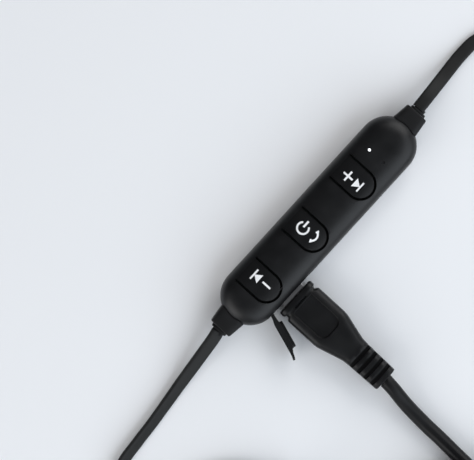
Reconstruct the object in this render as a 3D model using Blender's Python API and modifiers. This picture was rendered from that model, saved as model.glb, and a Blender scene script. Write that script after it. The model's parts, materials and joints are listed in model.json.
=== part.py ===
"""Neckband earphones with an inline control pod and the charging lead plugged into it.

Metres, +Z up. The origin is the centre of the pod's flat back, which lies on the table.
+X runs along the pod towards the short cord, the keys face +Z, and the charging port faces -Y.
"""

import math

import bmesh
import bpy
from mathutils import Matrix, Vector

MM = 0.001
CUT_GAP = 0.3 * MM  # between a piece and the neighbour it is cut to
SEAT_GAP = 0.12 * MM  # between a flat piece and the flat seat it lies on
REACH = 20 * MM  # how far a cutter runs past what it cuts
ARC_STEPS = 16  # segments in a half circle
TURN_STEPS = 28  # segments round a turned piece

# Control pod
POD_LENGTH = 63.0 * MM
POD_WIDTH = 14.3 * MM
POD_HEIGHT = 9.4 * MM
POD_RIM = 3.0 * MM  # rounding between the faces and the side
POD_WALL = 1.2 * MM
PARTING_Z = 4.5 * MM
PARTING_GAP = 0.3 * MM

# Keys: tongues that bend at a root on the +Y side, free at the port side
KEY_PREVIOUS_FROM_END = 11.3 * MM  # from the pod's low X end
KEY_NEXT_FROM_END = 18.5 * MM  # from its high X end
KEY_X = {
    "key_previous": -POD_LENGTH / 2 + KEY_PREVIOUS_FROM_END,
    "key_power": -3.85 * MM,
    "key_next": POD_LENGTH / 2 - KEY_NEXT_FROM_END,
}
KEY_WIDTH = 6.56 * MM
KEY_GROOVE = 0.5 * MM
KEY_ROOT_Y = POD_WIDTH / 2 - 1.99 * MM
KEY_FREE_Y = -POD_WIDTH / 2 + 2.36 * MM
KEY_STEM_Y = -2.0 * MM
KEY_STEM_RADIUS = 0.9 * MM
KEY_STROKE = 0.3 * MM  # between the stem and its switch

# Indicator and microphone
INDICATOR_X = POD_LENGTH / 2 - 10.95 * MM
LED_Y = 2.46 * MM
LED_RADIUS = 0.5 * MM
LED_CLEARANCE = 0.15 * MM
MIC_Y = -2.1 * MM
MIC_HOLE_RADIUS = 0.3 * MM
MIC_GASKET_RADIUS = 1.1 * MM

# Charging port
PLUG_SHELL_WIDTH = 6.85 * MM
PLUG_SHELL_HEIGHT = 1.8 * MM
PORT_X = -POD_LENGTH / 2 + 14.2 * MM
RECESS_LOW_X = PORT_X - 7.7 * MM
RECESS_HIGH_X = PORT_X + 6.4 * MM
RECESS_FLOOR_Y = -POD_WIDTH / 2 + 1.55 * MM
RECESS_HEIGHT = 5.0 * MM
PORT_Z = POD_WALL + RECESS_HEIGHT / 2
PORT_WALL = 1.05 * MM
PORT_WALL_MARGIN = 1.4 * MM
SOCKET_DEPTH = 5.0 * MM
SOCKET_SKIN = 0.25 * MM
SOCKET_CLEARANCE = 0.1 * MM
SOCKET_WIDTH = PLUG_SHELL_WIDTH + 2 * (SOCKET_CLEARANCE + SOCKET_SKIN)
SOCKET_HEIGHT = PLUG_SHELL_HEIGHT + 2 * (SOCKET_CLEARANCE + SOCKET_SKIN)
SOCKET_SET_BACK = 0.25 * MM  # behind the port wall's inner face
WINDOW_WIDTH = SOCKET_WIDTH + 0.65 * MM
WINDOW_HEIGHT = SOCKET_HEIGHT + 0.5 * MM
TONGUE_WIDTH = 3.6 * MM
TONGUE_THICKNESS = 0.5 * MM

# Board and battery
BOARD_THICKNESS = 0.8 * MM
BOARD_Z = PORT_Z + SOCKET_HEIGHT / 2 + 0.1 * MM
BOARD_MARGIN = 0.35 * MM  # round the board inside the wall
BOARD_END_MARGIN = 2.7 * MM
POST_RADIUS = 1.0 * MM
POST_INSET = 1.0 * MM  # from the board's end to the post's centre
SWITCH_SIDE = 3.4 * MM
SWITCH_HEIGHT = 1.0 * MM
PLUNGER_RADIUS = 0.8 * MM
CHIP_X = 4.6 * MM
CHIP_SIDE = 5.0 * MM
CHIP_HEIGHT = 0.8 * MM
CRYSTAL_SIZE = (2.4 * MM, 1.6 * MM, 0.7 * MM)
ANTENNA_SIZE = (2.0 * MM, 5.0 * MM, 1.0 * MM)
ANTENNA_X = POD_LENGTH / 2 - 6.9 * MM
MIC_SIZE = (3.0 * MM, 2.2 * MM, 1.0 * MM)
LED_SIZE = (1.6 * MM, 0.9 * MM, 0.6 * MM)
BATTERY_LOW_X = RECESS_HIGH_X + 2.1 * MM
BATTERY_HIGH_X = POD_LENGTH / 2 - POD_WALL - 6.1 * MM
BATTERY_SIDE_GAP = 0.95 * MM  # to the pod's side walls
BATTERY_WIDTH = POD_WIDTH - 2 * (POD_WALL + BATTERY_SIDE_GAP)
BATTERY_HEADROOM = 0.73 * MM  # under the board
LEAD_RADIUS = 0.4 * MM
LEAD_SPACING = 4.0 * MM
LEAD_RUN = 2.4 * MM

# Port flap, shown open
FLAP_KNUCKLE_RADIUS = 0.65 * MM
FLAP_CLEARANCE = 0.2 * MM  # to the recess's far end, top and bottom
FLAP_HINGE_X = RECESS_LOW_X + 1.1 * MM
FLAP_HINGE_Y = RECESS_FLOOR_Y - FLAP_KNUCKLE_RADIUS - 0.1 * MM
FLAP_LENGTH = RECESS_HIGH_X - FLAP_HINGE_X - FLAP_CLEARANCE
FLAP_HEIGHT = RECESS_HEIGHT - 2 * FLAP_CLEARANCE
FLAP_SKIN = 1.0 * MM
FLAP_LIP = 2.6 * MM
FLAP_LIP_SKIN = 0.6 * MM
FLAP_STRAP = 0.6 * MM
FLAP_STRAP_LENGTH = 3.0 * MM
FLAP_TAB = 1.0 * MM
FLAP_TAB_LENGTH = WINDOW_WIDTH - 1.2 * MM
FLAP_TAB_HEIGHT = WINDOW_HEIGHT - 0.6 * MM
FLAP_OPEN_ANGLE = math.radians(-108)

# Soft collars on the pod's ends
COLLAR_Z = POD_HEIGHT / 2
COLLAR_ROOT = (7.6 * MM, 6.6 * MM)  # width and height where it meets the pod
COLLAR_TIP = (6.0 * MM, 4.8 * MM)
COLLAR_TIP_X = POD_LENGTH / 2 + 3.5 * MM
COLLAR_EDGE = 1.0 * MM
NUB_LENGTH = 0.7 * MM
NUB_SIZE = (4.2 * MM, 2.6 * MM)
NECK_SIZE = (4.4 * MM, 3.0 * MM)
FLANGE_SIZE = (6.0 * MM, 4.4 * MM)
FLANGE_THICKNESS = 1.0 * MM
FLANGE_SET_BACK = 1.1 * MM  # behind the end wall's inner face

# Flat cords between the pod and the earbuds
CORD_RADIUS = 1.15 * MM  # a round cord of the flat cord's section
SHORT_CORD_ROUTE = [
    (36.0, 0.45, 4.7), (40.0, 0.7, 4.3), (46.0, 1.1, 2.6), (52.7, 1.5, 1.4), (58.0, 1.0, 1.2),
    (62.6, -2.2, 1.2), (64.8, -8.0, 1.2), (65.0, -15.0, 1.2), (63.6, -23.0, 1.2),
    (60.5, -31.0, 1.2), (57.6, -41.0, 1.2), (56.0, -51.0, 1.2), (56.6, -60.0, 1.3),
    (54.8, -68.5, 2.2), (49.0, -76.0, 4.3),
]
LONG_CORD_ROUTE = [
    (-36.0, -0.1, 4.7), (-38.1, -0.5, 4.6), (-44.0, -1.2, 3.2), (-51.2, -2.0, 1.6),
    (-57.0, -2.7, 1.2), (-63.1, -3.4, 1.2), (-69.0, -3.9, 1.2), (-75.0, -4.7, 1.2),
    (-81.0, -7.9, 1.2), (-86.0, -14.6, 1.4), (-89.1, -23.9, 1.7),
]
LONG_COIL_CENTRE = (-72.0 * MM, -38.0 * MM)
LONG_COIL_INNER = 14.5 * MM
LONG_COIL_OUTER = 20.7 * MM
LONG_COIL_HEIGHT = 3.2 * MM
LONG_CORD_END_ROUTE = [  # from the coil's inner turn to the left earbud, from the coil's centre
    (-12.7, 1.0, 2.3), (-12.2, -1.3, 2.5), (-10.8, -3.3, 3.0), (-8.8, -4.6, 3.8), (-6.5, -5.0, 4.3),
]

# Ties round the coils
TIE_WALL = 0.6 * MM
TIE_LENGTH = 5.0 * MM

# Earbuds, standing on their flat backs
LEFT_BUD = (-66.5 * MM, -43.0 * MM)
LEFT_BUD_CORD_ANGLE = math.pi  # the direction in which its cord leaves
RIGHT_BUD = (42.0 * MM, -86.0 * MM)
RIGHT_BUD_CORD_ANGLE = math.radians(54)
BUD_RADIUS = 5.8 * MM
BUD_SKIN = 0.8 * MM
CAP_HEIGHT = 2.4 * MM
CAP_FLOOR = 0.7 * MM
CAP_SKIN = 0.6 * MM
CAP_EDGE = 0.7 * MM
BUD_BODY_HEIGHT = 4.1 * MM  # of the housing's straight side
BUD_SHOULDER_HEIGHT = 3.6 * MM
MAGNET_RADIUS = 3.5 * MM
MAGNET_HEIGHT = 1.3 * MM
DRIVER_CLEARANCE = 0.35 * MM
DRIVER_HEIGHT = 2.2 * MM
DRIVER_CORE_RADIUS = 2.5 * MM
DRIVER_CORE_HEIGHT = 0.8 * MM
NOZZLE_TILT = math.radians(20)
NOZZLE_ROOT_DEPTH = 2.2 * MM  # under the housing's crown
NOZZLE_BASE_Z = CAP_HEIGHT + CUT_GAP + BUD_BODY_HEIGHT + BUD_SHOULDER_HEIGHT - NOZZLE_ROOT_DEPTH
NOZZLE_LENGTH = 6.4 * MM
NOZZLE_RADIUS = 2.3 * MM
NOZZLE_BORE = 1.6 * MM
NOZZLE_LIP = 0.3 * MM
NOZZLE_LIP_LENGTH = 0.8 * MM
MESH_THICKNESS = 0.25 * MM
TIP_CLEARANCE = 0.15 * MM
TIP_SKIN = 0.45 * MM
TIP_RADIUS = 5.7 * MM
TIP_SKIRT = 2.6 * MM  # where the skirt ends, along the nozzle
TIP_TOP = 8.1 * MM
RELIEF_LENGTH = 5.5 * MM
RELIEF_ROOT_RADIUS = 2.3 * MM
RELIEF_END_RADIUS = 1.6 * MM
RELIEF_Z = CAP_HEIGHT + 2.2 * MM

# Micro plug
NOSE_Y = -POD_WIDTH / 2 - 0.95 * MM
OVERMOLD_SECTIONS = [  # distance from the nose, width, height
    (0.0 * MM, 11.0 * MM, 6.8 * MM),
    (11.7 * MM, 11.0 * MM, 6.8 * MM),
    (18.85 * MM, 7.1 * MM, 5.8 * MM),
]
OVERMOLD_EDGE = 1.3 * MM
PLUG_SHELL_SKIN = 0.25 * MM
PLUG_SHELL_LENGTH = 6.5 * MM
CONTACT_THICKNESS = 0.5 * MM
PLUG_RELIEF_END = 29.5 * MM
PLUG_RELIEF_RADIUS = 3.4 * MM
PLUG_RELIEF_END_RADIUS = 3.15 * MM
PLUG_RELIEF_GROOVES = 4
PLUG_RELIEF_PITCH = 2.15 * MM
PLUG_RELIEF_GROOVE_WIDTH = 1.0 * MM
PLUG_RELIEF_GROOVE_DEPTH = 0.9 * MM

# Charging cord and its far plug
LEAD_CORD_RADIUS = 1.75 * MM
LEAD_CORD_ROUTE = [
    (-17.5, -38.0, 3.7), (-17.7, -40.6, 3.5), (-18.4, -45.4, 2.5), (-18.8, -51.4, 1.9),
    (-18.9, -57.0, 1.8), (-19.1, -62.4, 1.8), (-19.2, -69.2, 2.0),
]
LEAD_COIL_CENTRE = (-38.2 * MM, -82.0 * MM)
LEAD_COIL_RADIUS = 19.0 * MM
LEAD_COIL_HEIGHT = 7.0 * MM
LEAD_END_ROUTE = [  # round the outside of the coil, and on to the far plug
    (-16.1, -87.9, 3.4), (-20.7, -96.7, 1.9), (-28.5, -102.8, 1.9), (-36.2, -104.9, 2.1),
    (-42.0, -104.8, 3.0), (-47.0, -104.2, 3.9),
]
FAR_PLUG_Y = -104.0 * MM
FAR_RELIEF_LOW_X = -55.0 * MM
FAR_RELIEF_HIGH_X = -47.6 * MM
FAR_BODY_LENGTH = 20.0 * MM
FAR_BODY_SIZE = (15.4 * MM, 7.6 * MM)
FAR_PLUG_Z = FAR_BODY_SIZE[1] / 2 + 0.1 * MM
FAR_SHELL_LENGTH = 14.5 * MM
FAR_SHELL_SIZE = (12.0 * MM, 4.5 * MM)
FAR_SHELL_SKIN = 0.3 * MM
FAR_TONGUE_SIZE = (11.0 * MM, 1.9 * MM)

BLACK_PLASTIC = ((0.012, 0.012, 0.013), 0.42, 0.0)
BLACK_RUBBER = ((0.014, 0.014, 0.015), 0.6, 0.0)
GREY_CORD = ((0.026, 0.026, 0.025), 0.65, 0.0)
STEEL = ((0.62, 0.62, 0.63), 0.28, 1.0)
DARK_METAL = ((0.16, 0.16, 0.17), 0.35, 1.0)
GREEN_BOARD = ((0.01, 0.11, 0.05), 0.5, 0.0)
CHIP_BLACK = ((0.02, 0.02, 0.022), 0.5, 0.0)
CERAMIC = ((0.55, 0.53, 0.48), 0.5, 0.0)
SILVER_FOIL = ((0.45, 0.46, 0.48), 0.4, 1.0)
RED_WIRE = ((0.45, 0.02, 0.02), 0.5, 0.0)
CLEAR_PLASTIC = ((0.85, 0.88, 0.9), 0.2, 0.0)


def clear_scene():
    for old in list(bpy.data.objects):
        bpy.data.objects.remove(old, do_unlink=True)


def new_collection(name):
    collection = bpy.data.collections.new(name)
    bpy.context.scene.collection.children.link(collection)
    return collection


def link_part(obj, finish):
    """Puts an object among the parts, with a material of its own."""
    colour, roughness, metallic = finish
    material = bpy.data.materials.new(obj.name)
    material.use_nodes = True
    shader = material.node_tree.nodes["Principled BSDF"]
    shader.inputs["Base Color"].default_value = (*colour, 1.0)
    shader.inputs["Roughness"].default_value = roughness
    shader.inputs["Metallic"].default_value = metallic
    obj.data.materials.clear()
    obj.data.materials.append(material)
    PARTS.objects.link(obj)
    return obj


def link_guide(obj):
    """Puts an object among the cutters, which aren't part of the model."""
    obj.hide_render = True
    obj.display_type = "WIRE"
    GUIDES.objects.link(obj)
    return obj


def place(obj, finish):
    return link_part(obj, finish) if finish else link_guide(obj)


def mesh_from(build, name):
    """A mesh filled by a function that works on a bmesh."""
    bm = bmesh.new()
    build(bm)
    mesh = bpy.data.meshes.new(name)
    bm.to_mesh(mesh)
    bm.free()
    return mesh


def block(name, low, high, finish=None, edge=0.0):
    """A box between two corners, with its edges rounded."""
    low, high = Vector(low), Vector(high)
    size = Matrix.Diagonal((*(high - low), 1.0))
    middle = Matrix.Translation((low + high) / 2)
    mesh = mesh_from(lambda bm: bmesh.ops.create_cube(bm, size=1.0, matrix=middle @ size), name)
    obj = place(bpy.data.objects.new(name, mesh), finish)
    if edge:
        round_edges(obj, edge)
    return obj


def round_edges(obj, width, segments=3):
    bevel = obj.modifiers.new("rounding", "BEVEL")
    bevel.width = width
    bevel.segments = segments
    bevel.limit_method = "ANGLE"
    bevel.angle_limit = math.radians(40)
    bevel.use_clamp_overlap = False


def plate(name, outline, low_z, high_z, finish=None):
    """A flat outline given thickness, with plain faces on both sides."""
    curve = bpy.data.curves.new(name + "_outline", "CURVE")
    curve.dimensions = "2D"
    curve.fill_mode = "BOTH"
    curve.extrude = (high_z - low_z) / 2
    spline = curve.splines.new("POLY")
    spline.points.add(len(outline) - 1)
    for point, (x, y) in zip(spline.points, outline, strict=True):
        point.co = (x, y, 0.0, 1.0)
    spline.use_cyclic_u = True
    drawn = bpy.data.objects.new(name + "_outline", curve)
    bpy.context.scene.collection.objects.link(drawn)
    drawn.location.z = (low_z + high_z) / 2
    bpy.context.view_layer.update()
    graph = bpy.context.evaluated_depsgraph_get()
    mesh = bpy.data.meshes.new_from_object(drawn.evaluated_get(graph))
    mesh.transform(drawn.matrix_world)
    bpy.data.objects.remove(drawn, do_unlink=True)
    bm = bmesh.new()
    bm.from_mesh(mesh)
    bmesh.ops.remove_doubles(bm, verts=bm.verts, dist=0.001 * MM)
    bmesh.ops.dissolve_limit(bm, angle_limit=0.01, verts=bm.verts, edges=bm.edges)
    bmesh.ops.recalc_face_normals(bm, faces=bm.faces)
    bm.to_mesh(mesh)
    bm.free()
    return place(bpy.data.objects.new(name, mesh), finish)


def arc(centre, radius, start, end, steps=ARC_STEPS):
    return [
        (
            centre[0] + radius * math.cos(start + (end - start) * k / steps),
            centre[1] + radius * math.sin(start + (end - start) * k / steps),
        )
        for k in range(steps + 1)
    ]


def stadium(length, width):
    """A slot-shaped outline, anticlockwise."""
    radius = width / 2
    middle = length / 2 - radius
    right = arc((middle, 0.0), radius, -math.pi / 2, math.pi / 2)
    left = arc((-middle, 0.0), radius, math.pi / 2, 3 * math.pi / 2)
    return right + left


def tongue_outline(centre_x, width, free_y, root_y):
    """A tongue with a square root at high Y and a round free end at low Y."""
    radius = width / 2
    end = arc((centre_x, free_y + radius), radius, math.pi, 2 * math.pi)
    return end + [(centre_x + radius, root_y), (centre_x - radius, root_y)]


def pod_form(name, inset, low_z, high_z):
    """The pod's rounded outside, or the same form moved in by a wall."""
    outline = stadium(POD_LENGTH - 2 * inset, POD_WIDTH - 2 * inset)
    form = plate(name, outline, low_z, high_z)
    round_edges(form, POD_RIM - inset, segments=4)
    return form


def turned(name, profile, finish=None, steps=TURN_STEPS, closed=False, axis="Z"):
    """A profile of (radius, height) turned about an axis. The outer side runs top to bottom."""
    mesh = bpy.data.meshes.new(name)
    count = len(profile)
    edges = [(k, k + 1) for k in range(count - 1)]
    if closed:
        edges.append((count - 1, 0))
    mesh.from_pydata([(r, 0.0, z) for r, z in profile], edges, [])
    screw_obj = bpy.data.objects.new(name, mesh)
    screw = screw_obj.modifiers.new("turn", "SCREW")
    screw.steps = steps
    screw.render_steps = steps
    screw.use_merge_vertices = True
    screw.merge_threshold = 0.001 * MM
    place(screw_obj, finish)
    turns = {"Z": Matrix.Identity(4), "X": Matrix.Rotation(math.pi / 2, 4, "Y")}
    turns["-Y"] = Matrix.Rotation(math.pi / 2, 4, "X")
    screw_obj.matrix_world = turns[axis]
    return screw_obj


def rod(name, centre, radius, low_z, high_z, finish=None, steps=20):
    """An upright round rod."""
    profile = [(0.0, high_z), (radius, high_z), (radius, low_z), (0.0, low_z)]
    obj = turned(name, profile, finish, steps)
    obj.location = (*centre, 0.0)
    return obj


def boolean(part, operation, *tools):
    for tool in tools:
        step = part.modifiers.new(operation.lower() + "_" + tool.name, "BOOLEAN")
        step.operation = operation
        step.solver = "EXACT"
        step.object = tool


def smooth_route(points, spacing):
    """Points at an even spacing along a smooth curve through a route's points, in metres."""
    knots = [Vector(p) for p in points]
    knots = [2 * knots[0] - knots[1], *knots, 2 * knots[-1] - knots[-2]]
    fine = []
    for a, b, c, d in zip(knots, knots[1:], knots[2:], knots[3:]):
        for k in range(20):
            t = k / 20
            fine.append(
                0.5 * (2 * b + (c - a) * t + (2 * a - 5 * b + 4 * c - d) * t**2
                       + (3 * b - a - 3 * c + d) * t**3)
            )
    fine.append(knots[-2])
    walked = [0.0]
    for a, b in zip(fine, fine[1:]):
        walked.append(walked[-1] + (b - a).length)
    count = max(2, round(walked[-1] / spacing))
    route = []
    here = 0
    for k in range(count + 1):
        wanted = walked[-1] * k / count
        while here < len(walked) - 2 and walked[here + 1] < wanted:
            here += 1
        share = (wanted - walked[here]) / (walked[here + 1] - walked[here])
        route.append(fine[here].lerp(fine[here + 1], share))
    return route


def tube(name, route, radius, finish):
    curve = bpy.data.curves.new(name, "CURVE")
    curve.dimensions = "3D"
    curve.bevel_depth = radius
    curve.bevel_resolution = 2
    curve.use_fill_caps = True
    spline = curve.splines.new("POLY")
    spline.points.add(len(route) - 1)
    for point, place_at in zip(spline.points, route, strict=True):
        point.co = (*place_at, 1.0)
    return link_part(bpy.data.objects.new(name, curve), finish)


def cord(name, route_mm, radius, finish, offset=(0.0, 0.0)):
    """A cord's free stretch. Its route is in millimetres from the offset."""
    knots = [(x * MM + offset[0], y * MM + offset[1], z * MM) for x, y, z in route_mm]
    return tube(name, smooth_route(knots, 2.4 * radius), radius, finish)


def loft(name, sections, finish=None, edge=0.0):
    """Rectangular sections (distance, width, height) joined along +X about the X axis."""
    def build(bm):
        rings = []
        for x, width, height in sections:
            corners = [(-1, -1), (1, -1), (1, 1), (-1, 1)]
            rings.append([bm.verts.new((x, a * width / 2, b * height / 2)) for a, b in corners])
        for near, far in zip(rings, rings[1:]):
            for k in range(4):
                bm.faces.new((near[k], near[(k + 1) % 4], far[(k + 1) % 4], far[k]))
        bm.faces.new(list(reversed(rings[0])))
        bm.faces.new(rings[-1])
        bmesh.ops.recalc_face_normals(bm, faces=bm.faces)

    obj = place(bpy.data.objects.new(name, mesh_from(build, name)), finish)
    if edge:
        round_edges(obj, edge)
    return obj


def move_origin(obj, point):
    """Puts the object's origin at a point, with its mesh where it was."""
    obj.data.transform(Matrix.Translation(-Vector(point)))
    obj.location = point


def empty(name, matrix):
    obj = bpy.data.objects.new(name, None)
    obj.empty_display_size = 5 * MM
    obj.matrix_world = matrix
    PARTS.objects.link(obj)
    return obj


def parent(children, frame):
    for child in children:
        child.parent = frame


def build_pod_shells():
    top = POD_HEIGHT - POD_WALL
    outer = pod_form("guide_pod_outside", 0.0, 0.0, POD_HEIGHT)
    inner = pod_form("guide_pod_inside", POD_WALL, POD_WALL, top)
    cavity = pod_form("guide_pod_cavity", POD_WALL, POD_WALL, top)
    wall_back = RECESS_FLOOR_Y + PORT_WALL
    port_wall = block(
        "guide_port_wall",
        (RECESS_LOW_X - PORT_WALL_MARGIN, -POD_WIDTH, -REACH),
        (RECESS_HIGH_X + PORT_WALL_MARGIN, wall_back, PORT_Z + RECESS_HEIGHT / 2 + 0.6 * MM),
    )
    boolean(cavity, "DIFFERENCE", port_wall)

    recess = block(
        "guide_recess",
        (RECESS_LOW_X, -POD_WIDTH, PORT_Z - RECESS_HEIGHT / 2),
        (RECESS_HIGH_X, RECESS_FLOOR_Y, PORT_Z + RECESS_HEIGHT / 2),
    )
    window = block(
        "guide_window",
        (PORT_X - WINDOW_WIDTH / 2, -POD_WIDTH, PORT_Z - WINDOW_HEIGHT / 2),
        (PORT_X + WINDOW_WIDTH / 2, wall_back + REACH / 20, PORT_Z + WINDOW_HEIGHT / 2),
    )
    necks = [
        block(
            f"guide_neck_{side}",
            (min(side * 0.4, side * 0.6) * POD_LENGTH, -NECK_SIZE[0] / 2 - CUT_GAP,
             COLLAR_Z - NECK_SIZE[1] / 2 - CUT_GAP),
            (max(side * 0.4, side * 0.6) * POD_LENGTH, NECK_SIZE[0] / 2 + CUT_GAP,
             COLLAR_Z + NECK_SIZE[1] / 2 + CUT_GAP),
        )
        for side in (-1, 1)
    ]
    sides = {
        "upper_shell": (PARTING_Z + PARTING_GAP / 2, PARTING_Z + REACH),
        "lower_shell": (PARTING_Z - REACH, PARTING_Z - PARTING_GAP / 2),
    }
    shells = {}
    for name, (low, high) in sides.items():
        half = block(
            f"guide_half_{name}", (-POD_LENGTH, -POD_WIDTH, low), (POD_LENGTH, POD_WIDTH, high)
        )
        shell = plate(name, stadium(POD_LENGTH, POD_WIDTH), 0.0, POD_HEIGHT, BLACK_PLASTIC)
        round_edges(shell, POD_RIM, segments=4)
        boolean(shell, "INTERSECT", half)
        boolean(shell, "DIFFERENCE", cavity, recess, window, *necks)
        shells[name] = shell
    return outer, inner, shells["upper_shell"], shells["lower_shell"]


def build_keys(outer, inner, upper_shell):
    """The keys' tongues follow the pod's surface, and each has a stem over its switch."""
    switch_top = BOARD_Z + BOARD_THICKNESS + SEAT_GAP + SWITCH_HEIGHT + SEAT_GAP
    stem_low = switch_top + KEY_STROKE
    for name, x in KEY_X.items():
        hole = plate(
            f"guide_hole_{name}",
            tongue_outline(x, KEY_WIDTH + 2 * KEY_GROOVE, KEY_FREE_Y - KEY_GROOVE,
                           KEY_ROOT_Y + CUT_GAP),
            PARTING_Z + POD_WALL, POD_HEIGHT + POD_WALL,
        )
        boolean(upper_shell, "DIFFERENCE", hole)
        key = plate(
            name, tongue_outline(x, KEY_WIDTH, KEY_FREE_Y, KEY_ROOT_Y),
            PARTING_Z + POD_WALL, POD_HEIGHT + POD_WALL, BLACK_PLASTIC,
        )
        stem = rod(
            f"guide_stem_{name}", (x, KEY_STEM_Y), KEY_STEM_RADIUS,
            stem_low, POD_HEIGHT - POD_WALL / 2,
        )
        boolean(key, "INTERSECT", outer)
        boolean(key, "DIFFERENCE", inner)
        boolean(key, "UNION", stem)
        move_origin(key, (x, KEY_ROOT_Y, POD_HEIGHT - POD_WALL / 2))


def build_board(lower_shell):
    """The board on its two posts, with what is soldered to it."""
    length = POD_LENGTH - 2 * (POD_WALL + BOARD_END_MARGIN)
    width = POD_WIDTH - 2 * (POD_WALL + BOARD_MARGIN)
    board = plate(
        "circuit_board", stadium(length, width), BOARD_Z, BOARD_Z + BOARD_THICKNESS, GREEN_BOARD
    )
    notch = block(
        "guide_board_notch",
        (RECESS_LOW_X - PORT_WALL_MARGIN - CUT_GAP, -POD_WIDTH, 0.0),
        (RECESS_HIGH_X + PORT_WALL_MARGIN + CUT_GAP, RECESS_FLOOR_Y + PORT_WALL + CUT_GAP,
         POD_HEIGHT),
    )
    boolean(board, "DIFFERENCE", notch)
    for side in (-1, 1):
        post = rod(
            f"guide_post_{side}", (side * (length / 2 - POST_INSET), 0.0), POST_RADIUS,
            POD_WALL / 2, BOARD_Z - SEAT_GAP,
        )
        boolean(lower_shell, "UNION", post)

    seat = BOARD_Z + BOARD_THICKNESS + SEAT_GAP
    for name, x in KEY_X.items():
        low = (x - SWITCH_SIDE / 2, KEY_STEM_Y - SWITCH_SIDE / 2, seat)
        high = (x + SWITCH_SIDE / 2, KEY_STEM_Y + SWITCH_SIDE / 2, seat + SWITCH_HEIGHT)
        switch = block(name.replace("key", "switch"), low, high, DARK_METAL)
        plunger = rod(
            f"guide_plunger_{name}", (x, KEY_STEM_Y), PLUNGER_RADIUS,
            seat + SWITCH_HEIGHT / 2, seat + SWITCH_HEIGHT + SEAT_GAP,
        )
        boolean(switch, "UNION", plunger)

    top = POD_HEIGHT - POD_WALL
    on_board("radio_chip", (CHIP_X, 0.0), (CHIP_SIDE, CHIP_SIDE, CHIP_HEIGHT), CHIP_BLACK)
    crystal_y = CHIP_SIDE / 2 + CRYSTAL_SIZE[1]
    on_board("crystal", (CHIP_X, crystal_y), CRYSTAL_SIZE, STEEL)
    on_board("antenna", (ANTENNA_X, 0.0), ANTENNA_SIZE, CERAMIC)
    on_board("microphone", (INDICATOR_X, MIC_Y), MIC_SIZE, SILVER_FOIL)
    on_board("status_led", (INDICATOR_X, LED_Y), LED_SIZE, CERAMIC)

    mic_top = seat + MIC_SIZE[2] + SEAT_GAP
    bore = MIC_HOLE_RADIUS
    ring = [
        (MIC_GASKET_RADIUS, top - SEAT_GAP), (MIC_GASKET_RADIUS, mic_top),
        (bore, mic_top), (bore, top - SEAT_GAP),
    ]
    gasket = turned("microphone_gasket", ring, BLACK_RUBBER, steps=20, closed=True)
    gasket.location = (INDICATOR_X, MIC_Y, 0.0)

    led_top = seat + LED_SIZE[2] + SEAT_GAP
    flange = 1.8 * LED_RADIUS
    stepped = [
        (0.0, POD_HEIGHT), (LED_RADIUS, POD_HEIGHT), (LED_RADIUS, top - SEAT_GAP),
        (flange, top - SEAT_GAP), (flange, led_top + LED_SIZE[2]), (LED_RADIUS, led_top),
        (0.0, led_top),
    ]
    pipe = turned("light_pipe", stepped, CLEAR_PLASTIC, steps=20)
    pipe.location = (INDICATOR_X, LED_Y, 0.0)


def on_board(name, centre, size, finish):
    low_z = BOARD_Z + BOARD_THICKNESS + SEAT_GAP
    low = (centre[0] - size[0] / 2, centre[1] - size[1] / 2, low_z)
    high = (centre[0] + size[0] / 2, centre[1] + size[1] / 2, low_z + size[2])
    return block(name, low, high, finish)


def pierce_shell(upper_shell):
    """The holes over the indicator and the microphone."""
    holes = {
        "guide_led_hole": (LED_Y, LED_RADIUS + LED_CLEARANCE),
        "guide_mic_hole": (MIC_Y, MIC_HOLE_RADIUS),
    }
    for name, (y, radius) in holes.items():
        hole = rod(name, (INDICATOR_X, y), radius, PARTING_Z + POD_WALL, POD_HEIGHT + POD_WALL)
        boolean(upper_shell, "DIFFERENCE", hole)


def build_battery():
    low_z = POD_WALL + SEAT_GAP
    high_z = BOARD_Z - BATTERY_HEADROOM
    block(
        "battery", (BATTERY_LOW_X, -BATTERY_WIDTH / 2, low_z),
        (BATTERY_HIGH_X, BATTERY_WIDTH / 2, high_z), SILVER_FOIL, edge=0.4 * MM,
    )
    start_x = BATTERY_LOW_X - SEAT_GAP
    start_z = (low_z + high_z) / 2
    end_z = BOARD_Z - SEAT_GAP
    for name, y, finish in (
        ("battery_lead_red", LEAD_SPACING / 2, RED_WIRE),
        ("battery_lead_black", -LEAD_SPACING / 2, BLACK_RUBBER),
    ):
        knots = [
            (start_x, y, start_z), (start_x - LEAD_RUN / 2, y, start_z),
            (start_x - LEAD_RUN, y, (start_z + end_z) / 2), (start_x - LEAD_RUN, y, end_z),
        ]
        tube(name, smooth_route(knots, 1.5 * LEAD_RADIUS), LEAD_RADIUS, finish)


def build_socket():
    """The socket stands behind the port wall. Its mouth fits the plug's shell."""
    front = RECESS_FLOOR_Y + PORT_WALL - SOCKET_SET_BACK
    mouth_x = PLUG_SHELL_WIDTH / 2 + SOCKET_CLEARANCE
    mouth_z = PLUG_SHELL_HEIGHT / 2 + SOCKET_CLEARANCE
    socket = block(
        "usb_socket", (PORT_X - SOCKET_WIDTH / 2, front, PORT_Z - SOCKET_HEIGHT / 2),
        (PORT_X + SOCKET_WIDTH / 2, front + SOCKET_DEPTH, PORT_Z + SOCKET_HEIGHT / 2), STEEL,
    )
    mouth = block(
        "guide_socket_mouth", (PORT_X - mouth_x, front - REACH, PORT_Z - mouth_z),
        (PORT_X + mouth_x, front + SOCKET_DEPTH - 2 * SOCKET_SKIN, PORT_Z + mouth_z),
    )
    boolean(socket, "DIFFERENCE", mouth)
    tongue_z = PORT_Z + PLUG_SHELL_HEIGHT / 2 - PLUG_SHELL_SKIN - SEAT_GAP
    back = front + SOCKET_DEPTH - 2 * SOCKET_SKIN - SEAT_GAP
    block(
        "usb_socket_tongue",
        (PORT_X - TONGUE_WIDTH / 2, front + 2 * SOCKET_SKIN, tongue_z - TONGUE_THICKNESS),
        (PORT_X + TONGUE_WIDTH / 2, back, tongue_z), CHIP_BLACK,
    )


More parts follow.
